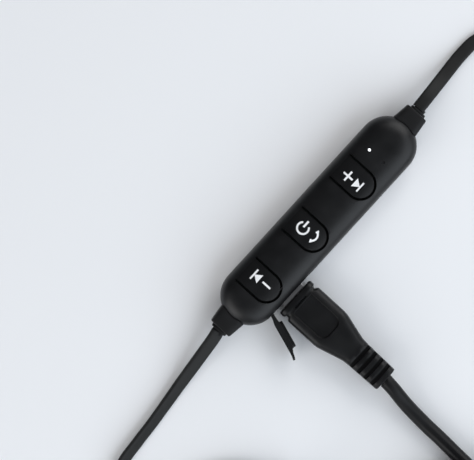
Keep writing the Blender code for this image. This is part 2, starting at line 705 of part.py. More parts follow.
def build_flap():
    """Drawn shut along +X from its hinge, then turned open about the hinge."""
    half = FLAP_HEIGHT / 2
    back = FLAP_STRAP / 2
    face = back - FLAP_SKIN
    knuckle = rod("port_flap", (0.0, 0.0), FLAP_KNUCKLE_RADIUS, -half, half, BLACK_RUBBER)
    body_end = FLAP_LENGTH - FLAP_LIP
    strap = block("guide_flap_strap", (0.0, -back, -half), (FLAP_STRAP_LENGTH, back, half))
    body = block("guide_flap_body", (FLAP_STRAP_LENGTH / 2, face, -half), (body_end, back, half))
    strap_end = block("guide_flap_notch", (-REACH, face - REACH, -REACH),
                      (FLAP_STRAP_LENGTH, -back, REACH))
    boolean(body, "DIFFERENCE", strap_end)
    lip = block(
        "guide_flap_lip", (body_end - FLAP_SKIN, face, -half),
        (FLAP_LENGTH, face + FLAP_LIP_SKIN, half),
    )
    tab_x = PORT_X - FLAP_HINGE_X
    tab = block(
        "guide_flap_tab", (tab_x - FLAP_TAB_LENGTH / 2, 0.0, -FLAP_TAB_HEIGHT / 2),
        (tab_x + FLAP_TAB_LENGTH / 2, back + FLAP_TAB, FLAP_TAB_HEIGHT / 2), edge=0.3 * MM,
    )
    boolean(knuckle, "UNION", strap, body, lip, tab)
    hinge = Matrix.Translation((FLAP_HINGE_X, FLAP_HINGE_Y, PORT_Z))
    frame = empty("port_flap_hinge", hinge @ Matrix.Rotation(FLAP_OPEN_ANGLE, 4, "Z"))
    parent([knuckle, strap, body, strap_end, lip, tab], frame)


def build_collar(name, side):
    """A tapered boot round the cord, with a neck through the end wall and a flange inside."""
    end = POD_LENGTH / 2
    flange_high = end - POD_WALL - FLANGE_SET_BACK
    flange_low = flange_high - FLANGE_THICKNESS
    boot = loft(
        name, [(end - POD_RIM, *COLLAR_ROOT), (COLLAR_TIP_X, *COLLAR_TIP)], BLACK_RUBBER,
        edge=COLLAR_EDGE,
    )
    grown = plate(
        f"guide_pod_grown_{name}",
        stadium(POD_LENGTH + 2 * CUT_GAP, POD_WIDTH + 2 * CUT_GAP), -REACH, REACH,
    )
    nub = loft(
        f"guide_nub_{name}",
        [(COLLAR_TIP_X - NUB_LENGTH, *NUB_SIZE), (COLLAR_TIP_X + NUB_LENGTH, *NUB_SIZE)],
        edge=0.5 * MM,
    )
    neck = loft(f"guide_boot_neck_{name}", [(flange_low, *NECK_SIZE), (end + POD_RIM / 2, *NECK_SIZE)])
    flange = loft(f"guide_flange_{name}", [(flange_low, *FLANGE_SIZE), (flange_high, *FLANGE_SIZE)])
    boolean(boot, "DIFFERENCE", grown)
    boolean(boot, "UNION", nub, neck, flange)
    turn = Matrix.Rotation(0.0 if side > 0 else math.pi, 4, "Z")
    frame = empty(f"{name}_frame", Matrix.Translation((0.0, 0.0, COLLAR_Z)) @ turn)
    parent([boot, nub, neck, flange, grown], frame)


def build_coil(name, centre, inner, outer, low_z, height, finish):
    """The outside shape of a wound coil."""
    corner = height / 8
    high_z = low_z + height
    section = [
        (inner + corner, high_z), (outer - corner, high_z), (outer, high_z - corner),
        (outer, low_z + corner), (outer - corner, low_z), (inner + corner, low_z),
        (inner, low_z + corner), (inner, high_z - corner),
    ]
    coil = turned(name, section, finish, steps=40, closed=True)
    coil.location = (*centre, 0.0)


def build_tie(name, centre, inner, outer, low_z, height, side):
    """A band round the coil's bundle of turns, where the bundle runs along Y."""
    middle = (inner + outer) / 2
    half_width = (outer - inner) / 2 + CUT_GAP
    x = centre[0] + side * middle
    tie = block(
        name, (x - half_width - TIE_WALL, centre[1] - TIE_LENGTH / 2, 0.0),
        (x + half_width + TIE_WALL, centre[1] + TIE_LENGTH / 2,
         low_z + height + CUT_GAP + TIE_WALL), BLACK_RUBBER,
    )
    gap = block(
        f"guide_gap_{name}", (x - half_width, centre[1] - TIE_LENGTH, TIE_WALL),
        (x + half_width, centre[1] + TIE_LENGTH, low_z + height + CUT_GAP),
    )
    boolean(tie, "DIFFERENCE", gap)


def build_bud(side, centre, cord_angle):
    """An earbud standing on its back. Its cord leaves along the frame's +X."""
    frame = empty(
        f"{side}_bud_frame",
        Matrix.Translation((*centre, 0.0)) @ Matrix.Rotation(cord_angle, 4, "Z"),
    )
    nozzle = empty(f"{side}_nozzle_frame", Matrix.Identity(4))
    nozzle.parent = frame
    nozzle.location = (0.0, 0.0, NOZZLE_BASE_Z)
    nozzle.rotation_euler = (0.0, -NOZZLE_TILT, 0.0)

    cap_inner = BUD_RADIUS - CAP_SKIN
    cap = turned(
        f"back_cap_{side}",
        [
            (cap_inner, CAP_HEIGHT), (BUD_RADIUS, CAP_HEIGHT), (BUD_RADIUS, CAP_EDGE),
            (BUD_RADIUS - CAP_EDGE, 0.0), (0.0, 0.0),
        ] + [(0.0, CAP_FLOOR), (cap_inner, CAP_FLOOR)],
        DARK_METAL, closed=True,
    )
    magnet_low = CAP_FLOOR + SEAT_GAP
    magnet = rod(
        f"magnet_{side}", (0.0, 0.0), MAGNET_RADIUS, magnet_low, magnet_low + MAGNET_HEIGHT, STEEL
    )

    low = CAP_HEIGHT + CUT_GAP
    side_top = low + BUD_BODY_HEIGHT
    crown = side_top + BUD_SHOULDER_HEIGHT
    housing = turned(f"housing_{side}", dome(BUD_RADIUS, low, side_top, crown), BLACK_PLASTIC)
    inside = turned(
        f"guide_inside_{side}",
        dome(BUD_RADIUS - BUD_SKIN, low - BUD_SKIN, side_top, crown - BUD_SKIN),
    )
    lip = NOZZLE_RADIUS + NOZZLE_LIP
    lip_low = NOZZLE_LENGTH - 2 * NOZZLE_LIP_LENGTH
    stalk = turned(
        f"guide_stalk_{side}",
        [
            (0.0, NOZZLE_LENGTH), (NOZZLE_RADIUS, NOZZLE_LENGTH),
            (lip, NOZZLE_LENGTH - NOZZLE_LIP_LENGTH), (NOZZLE_RADIUS, lip_low),
            (NOZZLE_RADIUS, 0.0), (0.0, 0.0),
        ],
    )
    bore = rod(f"guide_bore_{side}", (0.0, 0.0), NOZZLE_BORE, -NOZZLE_RADIUS, 2 * NOZZLE_LENGTH)
    boolean(housing, "UNION", stalk)
    boolean(housing, "DIFFERENCE", inside, bore)

    driver_low = low + SEAT_GAP
    driver_radius = BUD_RADIUS - BUD_SKIN - DRIVER_CLEARANCE
    driver_top = driver_low + DRIVER_HEIGHT
    driver = turned(
        f"driver_{side}",
        [
            (0.0, driver_top + DRIVER_CORE_HEIGHT),
            (DRIVER_CORE_RADIUS, driver_top + DRIVER_CORE_HEIGHT),
            (DRIVER_CORE_RADIUS, driver_top), (driver_radius, driver_top),
            (driver_radius, driver_low), (0.0, driver_low),
        ],
        STEEL,
    )
    mesh_top = NOZZLE_LENGTH - MESH_THICKNESS
    mesh = rod(
        f"nozzle_mesh_{side}", (0.0, 0.0), NOZZLE_BORE - SEAT_GAP,
        mesh_top - MESH_THICKNESS, mesh_top, STEEL,
    )
    relief_low = BUD_RADIUS + SEAT_GAP
    relief = turned(
        f"cord_relief_{side}",
        [
            (0.0, relief_low + RELIEF_LENGTH), (RELIEF_END_RADIUS, relief_low + RELIEF_LENGTH),
            (RELIEF_ROOT_RADIUS, relief_low), (0.0, relief_low),
        ],
        BLACK_RUBBER, axis="X",
    )
    relief.location = (0.0, 0.0, RELIEF_Z)
    tip = turned(f"ear_tip_{side}", tip_profile(), BLACK_RUBBER, closed=True)
    parent([cap, magnet, housing, inside, driver, relief], frame)
    parent([stalk, bore, mesh, tip], nozzle)


def dome(radius, low, side_top, crown):
    """A cup-shaped outline: a straight side and an elliptical shoulder."""
    shoulder = arc((0.0, 0.0), 1.0, math.pi / 2, 0.0, steps=7)
    points = [(radius * x, side_top + (crown - side_top) * y) for x, y in shoulder]
    points[0] = (0.0, crown)
    return [*points, (radius, low), (0.0, low)]


def tip_profile():
    """A soft tip: a skirt that folds back over the sleeve that grips the nozzle."""
    sleeve = NOZZLE_RADIUS + NOZZLE_LIP + TIP_CLEARANCE
    inner_top = TIP_TOP - 2 * TIP_SKIN
    rise = TIP_TOP - TIP_SKIRT
    outer = [
        (sleeve + (TIP_RADIUS - sleeve) * math.sin(a), TIP_SKIRT + rise * math.cos(a))
        for a in (math.radians(k * 15) for k in range(7))
    ]
    under = [
        (sleeve + TIP_SKIN + (TIP_RADIUS - TIP_SKIN - sleeve - TIP_SKIN) * math.sin(a),
         TIP_SKIRT + (inner_top - TIP_SKIRT - TIP_SKIN) * math.cos(a))
        for a in (math.radians(90 - k * 18) for k in range(5))
    ]
    sleeve_low = TIP_SKIRT + 2 * TIP_SKIN
    return [
        (NOZZLE_BORE, TIP_TOP), *outer, *under,
        (sleeve + TIP_SKIN, sleeve_low), (sleeve, sleeve_low), (sleeve, inner_top),
        (NOZZLE_BORE, inner_top),
    ]


def build_micro_plug(frame):
    """Drawn along +X from the nose, and turned with its frame to run along -Y."""
    overmold = loft("micro_plug_overmold", OVERMOLD_SECTIONS, BLACK_RUBBER, edge=OVERMOLD_EDGE)
    half_width = PLUG_SHELL_WIDTH / 2
    half_height = PLUG_SHELL_HEIGHT / 2
    shell = block(
        "micro_plug_shell", (-PLUG_SHELL_LENGTH, -half_width, -half_height),
        (-SEAT_GAP, half_width, half_height), STEEL,
    )
    skin = PLUG_SHELL_SKIN
    hollow = block(
        "guide_plug_hollow",
        (-PLUG_SHELL_LENGTH - REACH, -half_width + skin, -half_height + skin),
        (REACH, half_width - skin, half_height - skin),
    )
    boolean(shell, "DIFFERENCE", hollow)
    inside = half_height - skin - SEAT_GAP / 2
    contacts = block(
        "micro_plug_contacts",
        (-PLUG_SHELL_LENGTH + skin, -half_width + 2 * skin, -inside),
        (-SEAT_GAP, half_width - 2 * skin, -inside + CONTACT_THICKNESS), CHIP_BLACK,
    )
    relief = turned("micro_plug_relief", ribbed_profile(), BLACK_RUBBER, axis="X")
    parent([overmold, shell, hollow, contacts, relief], frame)


def ribbed_profile():
    """The strain relief's outline, from its cord end back to the overmold."""
    start = OVERMOLD_SECTIONS[-1][0] + CUT_GAP
    length = PLUG_RELIEF_END - start
    half = PLUG_RELIEF_GROOVE_WIDTH / 2

    def rib(x):
        share = (x - start) / length
        return PLUG_RELIEF_RADIUS + share * (PLUG_RELIEF_END_RADIUS - PLUG_RELIEF_RADIUS)

    points = [(0.0, PLUG_RELIEF_END), (rib(PLUG_RELIEF_END), PLUG_RELIEF_END)]
    for k in range(PLUG_RELIEF_GROOVES):
        x = PLUG_RELIEF_END - (k + 0.6) * PLUG_RELIEF_PITCH
        for edge, depth in ((half, 0.0), (half / 2, 1.0), (-half / 2, 1.0), (-half, 0.0)):
            points.append((rib(x + edge) - depth * PLUG_RELIEF_GROOVE_DEPTH, x + edge))
    return points + [(rib(start), start), (0.0, start)]


def build_far_plug():
    """The lead's other plug lies along -X."""
    y, z = FAR_PLUG_Y, FAR_PLUG_Z
    width, height = FAR_BODY_SIZE
    body_high = FAR_RELIEF_LOW_X - CUT_GAP
    body_low = body_high - FAR_BODY_LENGTH
    block(
        "usb_plug_overmold", (body_low, y - width / 2, z - height / 2),
        (body_high, y + width / 2, z + height / 2), BLACK_RUBBER, edge=1.2 * MM,
    )
    shell_width, shell_height = FAR_SHELL_SIZE
    shell_high = body_low - SEAT_GAP
    shell = block(
        "usb_plug_shell", (shell_high - FAR_SHELL_LENGTH, y - shell_width / 2, z - shell_height / 2),
        (shell_high, y + shell_width / 2, z + shell_height / 2), STEEL,
    )
    inner_width = shell_width / 2 - FAR_SHELL_SKIN
    inner_height = shell_height / 2 - FAR_SHELL_SKIN
    hollow = block(
        "guide_usb_hollow", (shell_high - FAR_SHELL_LENGTH - REACH, y - inner_width, z - inner_height),
        (shell_high + REACH, y + inner_width, z + inner_height),
    )
    boolean(shell, "DIFFERENCE", hollow)
    tongue_width, tongue_height = FAR_TONGUE_SIZE
    tongue_low = z - inner_height + SEAT_GAP
    block(
        "usb_plug_tongue",
        (shell_high - FAR_SHELL_LENGTH + FAR_SHELL_SKIN, y - tongue_width / 2, tongue_low),
        (shell_high, y + tongue_width / 2, tongue_low + tongue_height), CERAMIC,
    )
    relief = turned(
        "usb_plug_relief",
        [
            (0.0, FAR_RELIEF_HIGH_X), (1.4 * LEAD_CORD_RADIUS, FAR_RELIEF_HIGH_X),
            (1.9 * LEAD_CORD_RADIUS, FAR_RELIEF_LOW_X), (0.0, FAR_RELIEF_LOW_X),
        ],
        BLACK_RUBBER, axis="X",
    )
    relief.location = (0.0, y, z)


def build_charging_lead():
    turn = Matrix.Rotation(-math.pi / 2, 4, "Z")
    frame = empty("charging_lead_frame", Matrix.Translation((PORT_X, NOSE_Y, PORT_Z)) @ turn)
    build_micro_plug(frame)
    cord("charging_cord", LEAD_CORD_ROUTE, LEAD_CORD_RADIUS, GREY_CORD)
    inner = LEAD_COIL_RADIUS - LEAD_CORD_RADIUS
    outer = LEAD_COIL_RADIUS + LEAD_CORD_RADIUS
    low_z = TIE_WALL + CUT_GAP / 2
    build_coil(
        "charging_cord_coil", LEAD_COIL_CENTRE, inner, outer, low_z, LEAD_COIL_HEIGHT, GREY_CORD
    )
    build_tie("charging_cord_tie", LEAD_COIL_CENTRE, inner, outer, low_z, LEAD_COIL_HEIGHT, -1)
    cord("charging_cord_end", LEAD_END_ROUTE, LEAD_CORD_RADIUS, GREY_CORD)
    build_far_plug()


def build_neck_cords():
    cord("short_cord", SHORT_CORD_ROUTE, CORD_RADIUS, GREY_CORD)
    cord("long_cord", LONG_CORD_ROUTE, CORD_RADIUS, GREY_CORD)
    cord("long_cord_end", LONG_CORD_END_ROUTE, CORD_RADIUS, GREY_CORD, offset=LONG_COIL_CENTRE)
    low_z = TIE_WALL + CUT_GAP / 2
    sizes = (LONG_COIL_INNER, LONG_COIL_OUTER, low_z, LONG_COIL_HEIGHT)
    build_coil("long_cord_coil", LONG_COIL_CENTRE, *sizes, GREY_CORD)
    build_tie("long_cord_tie", LONG_COIL_CENTRE, *sizes, 1)


clear_scene()
PARTS = new_collection("neckband_earphones")
GUIDES = new_collection("cutters")
pod_outside, pod_inside, upper, lower = build_pod_shells()
build_keys(pod_outside, pod_inside, upper)
pierce_shell(upper)
build_board(lower)
build_battery()
build_socket()
build_flap()
build_collar("collar_short_cord", 1)
build_collar("collar_long_cord", -1)
build_neck_cords()
build_bud("left", LEFT_BUD, LEFT_BUD_CORD_ANGLE)
build_bud("right", RIGHT_BUD, RIGHT_BUD_CORD_ANGLE)
build_charging_lead()
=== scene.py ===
"""Looks of the neckband earphones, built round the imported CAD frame. Metres, +Z up."""

import json
import math

import bmesh
import bpy
from mathutils import Matrix, Vector


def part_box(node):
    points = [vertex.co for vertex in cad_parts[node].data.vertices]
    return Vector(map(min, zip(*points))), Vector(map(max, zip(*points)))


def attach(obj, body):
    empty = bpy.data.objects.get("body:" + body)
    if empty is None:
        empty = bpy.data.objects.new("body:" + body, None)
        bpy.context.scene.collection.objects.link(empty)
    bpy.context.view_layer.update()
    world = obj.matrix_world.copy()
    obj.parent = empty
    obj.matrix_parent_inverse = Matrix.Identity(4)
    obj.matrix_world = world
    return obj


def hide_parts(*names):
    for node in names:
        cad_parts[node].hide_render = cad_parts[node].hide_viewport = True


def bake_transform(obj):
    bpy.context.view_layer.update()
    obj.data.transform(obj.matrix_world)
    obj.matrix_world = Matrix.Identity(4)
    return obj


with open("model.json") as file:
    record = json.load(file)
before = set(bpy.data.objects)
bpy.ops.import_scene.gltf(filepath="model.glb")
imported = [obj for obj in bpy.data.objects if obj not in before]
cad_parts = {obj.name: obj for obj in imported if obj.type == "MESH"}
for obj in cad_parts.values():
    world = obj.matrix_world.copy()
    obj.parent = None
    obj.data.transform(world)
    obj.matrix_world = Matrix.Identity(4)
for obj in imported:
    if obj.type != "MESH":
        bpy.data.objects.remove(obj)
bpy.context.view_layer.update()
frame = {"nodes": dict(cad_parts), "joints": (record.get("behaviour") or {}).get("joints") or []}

MM = 0.001
WHITE = (1.0, 1.0, 1.0)
UP = Vector((0, 0, 1))


# ------------------------ sizes read from the frame


def corners(node):
    low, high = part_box(node)
    return Vector(low), Vector(high)


def middle(node):
    low, high = corners(node)
    return (low + high) / 2


POD_LOW = corners("lower_shell")[0]
POD_HIGH = corners("upper_shell")[1]
POD_LENGTH = POD_HIGH.x - POD_LOW.x
POD_WIDTH = POD_HIGH.y - POD_LOW.y
POD_TOP = POD_HIGH.z
PARTING_Z = (corners("upper_shell")[0].z + corners("lower_shell")[1].z) / 2
PARTING_GAP = 0.2 * MM
WALL = 1.2 * MM
CROWN_POWER = 2.9  # of the upper shell's section, lower is rounder
BACK_POWER = 4.5
KEYS = ("key_previous", "key_power", "key_next")
KEY_GROOVE = 0.6 * MM
PORT_X = middle("usb_socket").x
PORT_Z = middle("usb_socket").z
PLUG_X = middle("micro_plug_overmold").x
NOSE_Y = corners("micro_plug_overmold")[1].y
COLLAR_Z = middle("collar_short_cord").z
FLAT_WIDTH = 3.2 * MM
FLAT_THICKNESS = 1.3 * MM
LEAD_RADIUS = 1.75 * MM
PORT_WALL = 1.05 * MM
PORT_WALL_BACK = corners("usb_socket")[0].y + 0.25 * MM
PORT_WALL_MARGIN = 1.4 * MM  # past each end of the recess
RECESS_LOW_X = PORT_X - 7.7 * MM
RECESS_HIGH_X = PORT_X + 6.4 * MM
RECESS_HEIGHT = 5.0 * MM
FLAP_OPEN = math.radians(-108)
SECTION_DEGREES = (
    -88, -84, -78, -70, -60, -48, -34, -20, -7, 7, 16, 26, 36, 46, 55, 63, 70, 76, 81, 85, 88,
)
STEM_RADIUS = 0.9 * MM
STEM_Y = -2.0 * MM


# ------------------------ camera, floor and lamps


def build_camera():
    """Looks straight down, rolled so that the pod runs from lower left to upper right."""
    roll = math.radians(47.6)
    right = Vector((math.cos(roll), -math.sin(roll), 0))
    up = Vector((math.sin(roll), math.cos(roll), 0))
    view_width = 112.9 * MM
    distance = 0.75
    centre = -19.52 * MM * right - 2.26 * MM * up
    data = bpy.data.cameras.new("camera")
    data.sensor_width = 36.0
    data.lens = data.sensor_width * distance / view_width
    data.clip_start = 0.05
    camera = bpy.data.objects.new("camera", data)
    bpy.context.scene.collection.objects.link(camera)
    camera.matrix_world = Matrix.Translation(centre + (distance + POD_TOP) * UP) @ Matrix(
        (right, up, UP)
    ).transposed().to_4x4()
    bpy.context.scene.camera = camera


def area_lamp(name, place, size, power, colour=WHITE):
    data = bpy.data.lights.new(name, "AREA")
    data.shape = "RECTANGLE"
    data.size, data.size_y = size
    data.energy = power
    data.color = colour
    lamp = bpy.data.objects.new(name, data)
    bpy.context.scene.collection.objects.link(lamp)
    lamp.location = place
    lamp.rotation_euler = (-Vector(place)).to_track_quat("-Z", "Y").to_euler()


def build_stage():
    bpy.context.scene.view_settings.view_transform = "Standard"
    bpy.ops.mesh.primitive_plane_add(size=6.0, location=(0, 0, -0.02 * MM))
    floor = bpy.context.object
    floor.name = "floor"
    material, shader, _ = new_material("floor_paper", (0.85, 0.855, 0.87), 0.8)
    shader.inputs["Specular IOR Level"].default_value = 0.2
    floor.data.materials.append(material)
    build_world()
    area_lamp("key_lamp", (0.06, -0.54, 0.44), (1.2, 0.7), 5.0, (0.86, 0.93, 1.0))
    area_lamp("right_lamp", (0.66, 0.10, 0.40), (0.6, 0.6), 3.1)
    area_lamp("left_lamp", (-0.70, 0.10, 0.38), (0.6, 0.6), 3.1)


def build_world():
    """A room that is bright towards -Y, low down, and dark overhead and behind."""
    world = bpy.data.worlds.new("studio")
    world.use_nodes = True
    tree = world.node_tree
    where = tree.nodes.new("ShaderNodeTexCoord")
    facing = tree.nodes.new("ShaderNodeVectorMath")
    facing.operation = "DOT_PRODUCT"
    facing.inputs[1].default_value = (0.0, -0.5, -0.85)
    tree.links.new(where.outputs["Generated"], facing.inputs[0])
    background = tree.nodes["Background"]
    background.inputs["Color"].default_value = (0.92, 0.95, 1.0, 1)
    strength = spread(tree, facing.outputs["Value"], 0.10, 0.75, -0.7, 0.5)
    tree.links.new(strength, background.inputs["Strength"])
    bpy.context.scene.world = world


# ------------------------ materials


def new_material(name, colour, roughness, metallic=0.0):
    material = bpy.data.materials.new(name)
    material.use_nodes = True
    shader = material.node_tree.nodes["Principled BSDF"]
    shader.inputs["Base Color"].default_value = (*colour, 1.0)
    shader.inputs["Roughness"].default_value = roughness
    shader.inputs["Metallic"].default_value = metallic
    return material, shader, material.node_tree


def noise(tree, scale, detail=2.0, stretch=(1, 1, 1)):
    """Noise at a scale in cycles per metre, on the object's own coordinates."""
    where = tree.nodes.new("ShaderNodeTexCoord")
    mapping = tree.nodes.new("ShaderNodeMapping")
    mapping.inputs["Scale"].default_value = stretch
    node = tree.nodes.new("ShaderNodeTexNoise")
    node.inputs["Scale"].default_value = scale
    node.inputs["Detail"].default_value = detail
    tree.links.new(where.outputs["Object"], mapping.inputs["Vector"])
    tree.links.new(mapping.outputs["Vector"], node.inputs["Vector"])
    return node.outputs["Fac"]


def spread(tree, value, low, high, start=0.3, end=0.7):
    node = tree.nodes.new("ShaderNodeMapRange")
    node.inputs["From Min"].default_value = start
    node.inputs["From Max"].default_value = end
    node.inputs["To Min"].default_value = low
    node.inputs["To Max"].default_value = high
    tree.links.new(value, node.inputs["Value"])
    return node.outputs["Result"]


def bump(tree, shader, height, strength, distance):
    node = tree.nodes.new("ShaderNodeBump")
    node.inputs["Strength"].default_value = strength
    node.inputs["Distance"].default_value = distance
    tree.links.new(height, node.inputs["Height"])
    tree.links.new(node.outputs["Normal"], shader.inputs["Normal"])


def tint(tree, shader, value, dark, light):
    """Base colour that varies between two shades."""
    mix = tree.nodes.new("ShaderNodeMix")
    mix.data_type = "RGBA"
    mix.inputs["A"].default_value = (*dark, 1.0)
    mix.inputs["B"].default_value = (*light, 1.0)
    tree.links.new(value, mix.inputs["Factor"])
    tree.links.new(mix.outputs["Result"], shader.inputs["Base Color"])


def grained(name, dark, light, roughness, grain, depth, metallic=0.0, sheen=0.0, gloss_level=0.5,
            stretch=(1, 1, 1)):
    """A moulded or drawn surface: fine grain, so many mm deep, and slow changes of shade and gloss."""
    material, shader, tree = new_material(name, light, roughness, metallic)
    shader.inputs["Sheen Weight"].default_value = sheen
    shader.inputs["Specular IOR Level"].default_value = gloss_level
    fine = noise(tree, grain, 3.0, stretch)
    slow = noise(tree, grain / 40, 4.0)
    tint(tree, shader, spread(tree, slow, 0.0, 1.0), dark, light)
    gloss = spread(tree, slow, roughness - 0.05, roughness + 0.05)
    tree.links.new(gloss, shader.inputs["Roughness"])
    bump(tree, shader, fine, 0.35, depth * MM)
    return material


def build_materials():
    black = (0.0036, 0.0037, 0.0041)
    return {
        "shell": grained(
            "shell_plastic", black, (0.0052, 0.0053, 0.0059), 0.40, 9000, 0.012, gloss_level=0.32
        ),
        "key": grained(
            "key_plastic", black, (0.0048, 0.0049, 0.0053), 0.43, 9000, 0.012, gloss_level=0.22
        ),
        "ink": grained("white_ink", (0.78, 0.78, 0.78), (0.9, 0.9, 0.9), 0.5, 12000, 0.006),
        "rubber": grained(
            "soft_rubber", (0.0042, 0.0042, 0.0046), (0.0066, 0.0066, 0.0072), 0.5, 7000, 0.02,
            sheen=0.02, gloss_level=0.2,
        ),
        "moulding": grained(
            "plug_moulding", (0.0036, 0.0036, 0.0040), (0.0054, 0.0054, 0.0058), 0.38, 8000, 0.012,
            gloss_level=0.24,
        ),
        "flat_cord": grained(
            "flat_cord_jacket", (0.010, 0.010, 0.0098), (0.015, 0.015, 0.0147), 0.5, 6000, 0.02,
            sheen=0.02, gloss_level=0.22,
        ),
        "lead_cord": grained(
            "lead_cord_jacket", (0.0036, 0.0036, 0.0041), (0.0056, 0.0056, 0.0061), 0.38, 5000,
            0.015, gloss_level=0.2,
        ),
        "steel": grained(
            "plated_steel", (0.62, 0.62, 0.63), (0.80, 0.80, 0.81), 0.36, 6000, 0.006, 1.0,
            stretch=(1, 0.08, 1),
        ),
        "dark_metal": grained(
            "anodised_metal", (0.05, 0.05, 0.055), (0.08, 0.08, 0.085), 0.32, 5000, 0.006, 1.0
        ),
        "gold": grained("gold_contacts", (0.75, 0.5, 0.2), (0.85, 0.6, 0.28), 0.25, 6000, 0.004, 1.0),
        "silicone": grained(
            "tip_silicone", (0.013, 0.013, 0.014), (0.019, 0.019, 0.020), 0.5, 4000, 0.01, sheen=0.2
        ),
        "board": grained(
            "solder_mask", (0.0035, 0.0065, 0.005), (0.005, 0.009, 0.007), 0.45, 2500, 0.02
        ),
        "chip": grained("chip_package", (0.012, 0.012, 0.013), (0.022, 0.022, 0.024), 0.5, 8000, 0.01),
        "ceramic": grained("pale_ceramic", (0.5, 0.48, 0.43), (0.6, 0.58, 0.53), 0.5, 5000, 0.01),
        "foil": grained("pouch_foil", (0.4, 0.41, 0.43), (0.52, 0.53, 0.55), 0.38, 900, 0.05, 1.0),
        "red_wire": grained("red_insulation", (0.35, 0.01, 0.01), (0.5, 0.02, 0.02), 0.45, 6000, 0.01),
        "lamp": lamp_material(),
    }


def lamp_material():
    """A clear light pipe with the white status light on behind it."""
    material, shader, tree = new_material("lit_light_pipe", (0.92, 0.95, 1.0), 0.25)
    shader.inputs["Emission Strength"].default_value = 1.3
    glow = noise(tree, 1500, 1.0)
    tree.links.new(spread(tree, glow, 0.2, 0.32), shader.inputs["Roughness"])
    shader.inputs["Emission Color"].default_value = (0.95, 0.97, 1.0, 1)
    return material


# ------------------------ mesh tools


def new_object(name, mesh):
    obj = bpy.data.objects.new(name, mesh)
    bpy.context.scene.collection.objects.link(obj)
    return obj


def mesh_object(name, build, matrix=None):
    bm = bmesh.new()
    build(bm)
    bmesh.ops.recalc_face_normals(bm, faces=bm.faces)
    if matrix is not None:
        bm.transform(matrix)
    mesh = bpy.data.meshes.new(name)
    bm.to_mesh(mesh)
    bm.free()
    return new_object(name, mesh)


def skin_rings(bm, rings, closed_ends=True, loop=False):
    """Joins rings of points into one surface. A ring of one point closes to a tip."""
    made = [[bm.verts.new(p) for p in ring] for ring in rings]
    pairs = list(zip(made, made[1:]))
    if loop:
        pairs.append((made[-1], made[0]))
    for near, far in pairs:
        count = max(len(near), len(far))
        for k in range(count):
            m = (k + 1) % count
            face = [near[k % len(near)], near[m % len(near)], far[m % len(far)], far[k % len(far)]]
            bm.faces.new(list(dict.fromkeys(face)))
    if closed_ends and not loop:
        for ring in (made[0], made[-1]):
            if len(ring) > 2:
                bm.faces.new(ring)


def ring_surface(name, rings, matrix=None, loop=False):
    return mesh_object(name, lambda bm: skin_rings(bm, rings, loop=loop), matrix)


def arc(centre, radius, start, end, steps):
    angles = (start + (end - start) * k / steps for k in range(steps + 1))
    return [(centre[0] + radius * math.cos(a), centre[1] + radius * math.sin(a)) for a in angles]


def oval(width, height, power, steps=32):
    """A superellipse: power 2 is an ellipse, and higher ones are squarer."""
    points = []
    for k in range(steps):
        a = 2 * math.pi * (k + 0.5) / steps
        x, y = (math.copysign(abs(c) ** (2 / power), c) for c in (math.cos(a), math.sin(a)))
        points.append((x * width / 2, y * height / 2))
    return points


def loft(name, stations, matrix=None, steps=32):
    """Superellipse sections (distance, width, height, power) joined along +X."""
    rings = [
        [(x, a, b) for a, b in oval(width, height, power, steps)]
        for x, width, height, power in stations
    ]
    return ring_surface(name, rings, matrix)


def turned(name, profile, matrix=None, steps=48, loop=False):
    """A profile of (radius, height) turned about +Z."""
    rings = []
    for radius, z in profile:
        if radius < 1e-7:
            rings.append([(0.0, 0.0, z)])
            continue
        angles = (2 * math.pi * k / steps for k in range(steps))
        rings.append([(radius * math.cos(a), radius * math.sin(a), z) for a in angles])
    return ring_surface(name, rings, matrix, loop)


def prism(name, outline, low_z, high_z, matrix=None):
    rings = [[(x, y, z) for x, y in outline] for z in (low_z, high_z)]
    return ring_surface(name, rings, matrix)


def box(name, low, high):
    size = Matrix.Diagonal((*(Vector(high) - Vector(low)), 1.0))
    at = Matrix.Translation((Vector(low) + Vector(high)) / 2)
    return mesh_object(name, lambda bm: bmesh.ops.create_cube(bm, size=1.0, matrix=at @ size))


def settle_modifiers(obj):
    """Replaces the mesh by what its modifiers make of it."""
    graph = bpy.context.evaluated_depsgraph_get()
    mesh = bpy.data.meshes.new_from_object(obj.evaluated_get(graph))
    obj.modifiers.clear()
    obj.data = mesh


def combine(obj, operation, *tools):
    """Cuts with, adds or keeps what is inside each tool, and deletes the tools."""
    for tool in tools:
        step = obj.modifiers.new("combine", "BOOLEAN")
        step.operation = operation
        step.solver = "EXACT"
        step.object = tool
        settle_modifiers(obj)
        bpy.data.objects.remove(tool, do_unlink=True)
    return obj


def soften(obj, width, segments=2, angle=40, limit="ANGLE"):
    """Rounds the sharp edges, or the weighted ones."""
    bevel = obj.modifiers.new("soften", "BEVEL")
    bevel.width = width
    bevel.segments = segments
    bevel.limit_method = limit
    bevel.angle_limit = math.radians(angle)
    bevel.miter_outer = "MITER_ARC"
    settle_modifiers(obj)
    return obj


def smooth(obj, angle=32):
    """Smooth shading in which the large faces stay even beside their rounded edges."""
    obj.data.shade_smooth()
    obj.data.set_sharp_from_angle(angle=math.radians(angle))
    weighted = obj.modifiers.new("even_shading", "WEIGHTED_NORMAL")
    weighted.keep_sharp = True
    settle_modifiers(obj)
    return obj


def finish_piece(obj, body, material, nodes=(), angle=32):
    """Gives a piece its finish, and hands it to the CAD body that it moves with."""
    smooth(obj, angle)
    obj.data.materials.clear()
    obj.data.materials.append(MATERIALS[material])
    if nodes:
        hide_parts(*nodes)
    if body:
        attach(obj, body)
    return obj


# ------------------------ cords


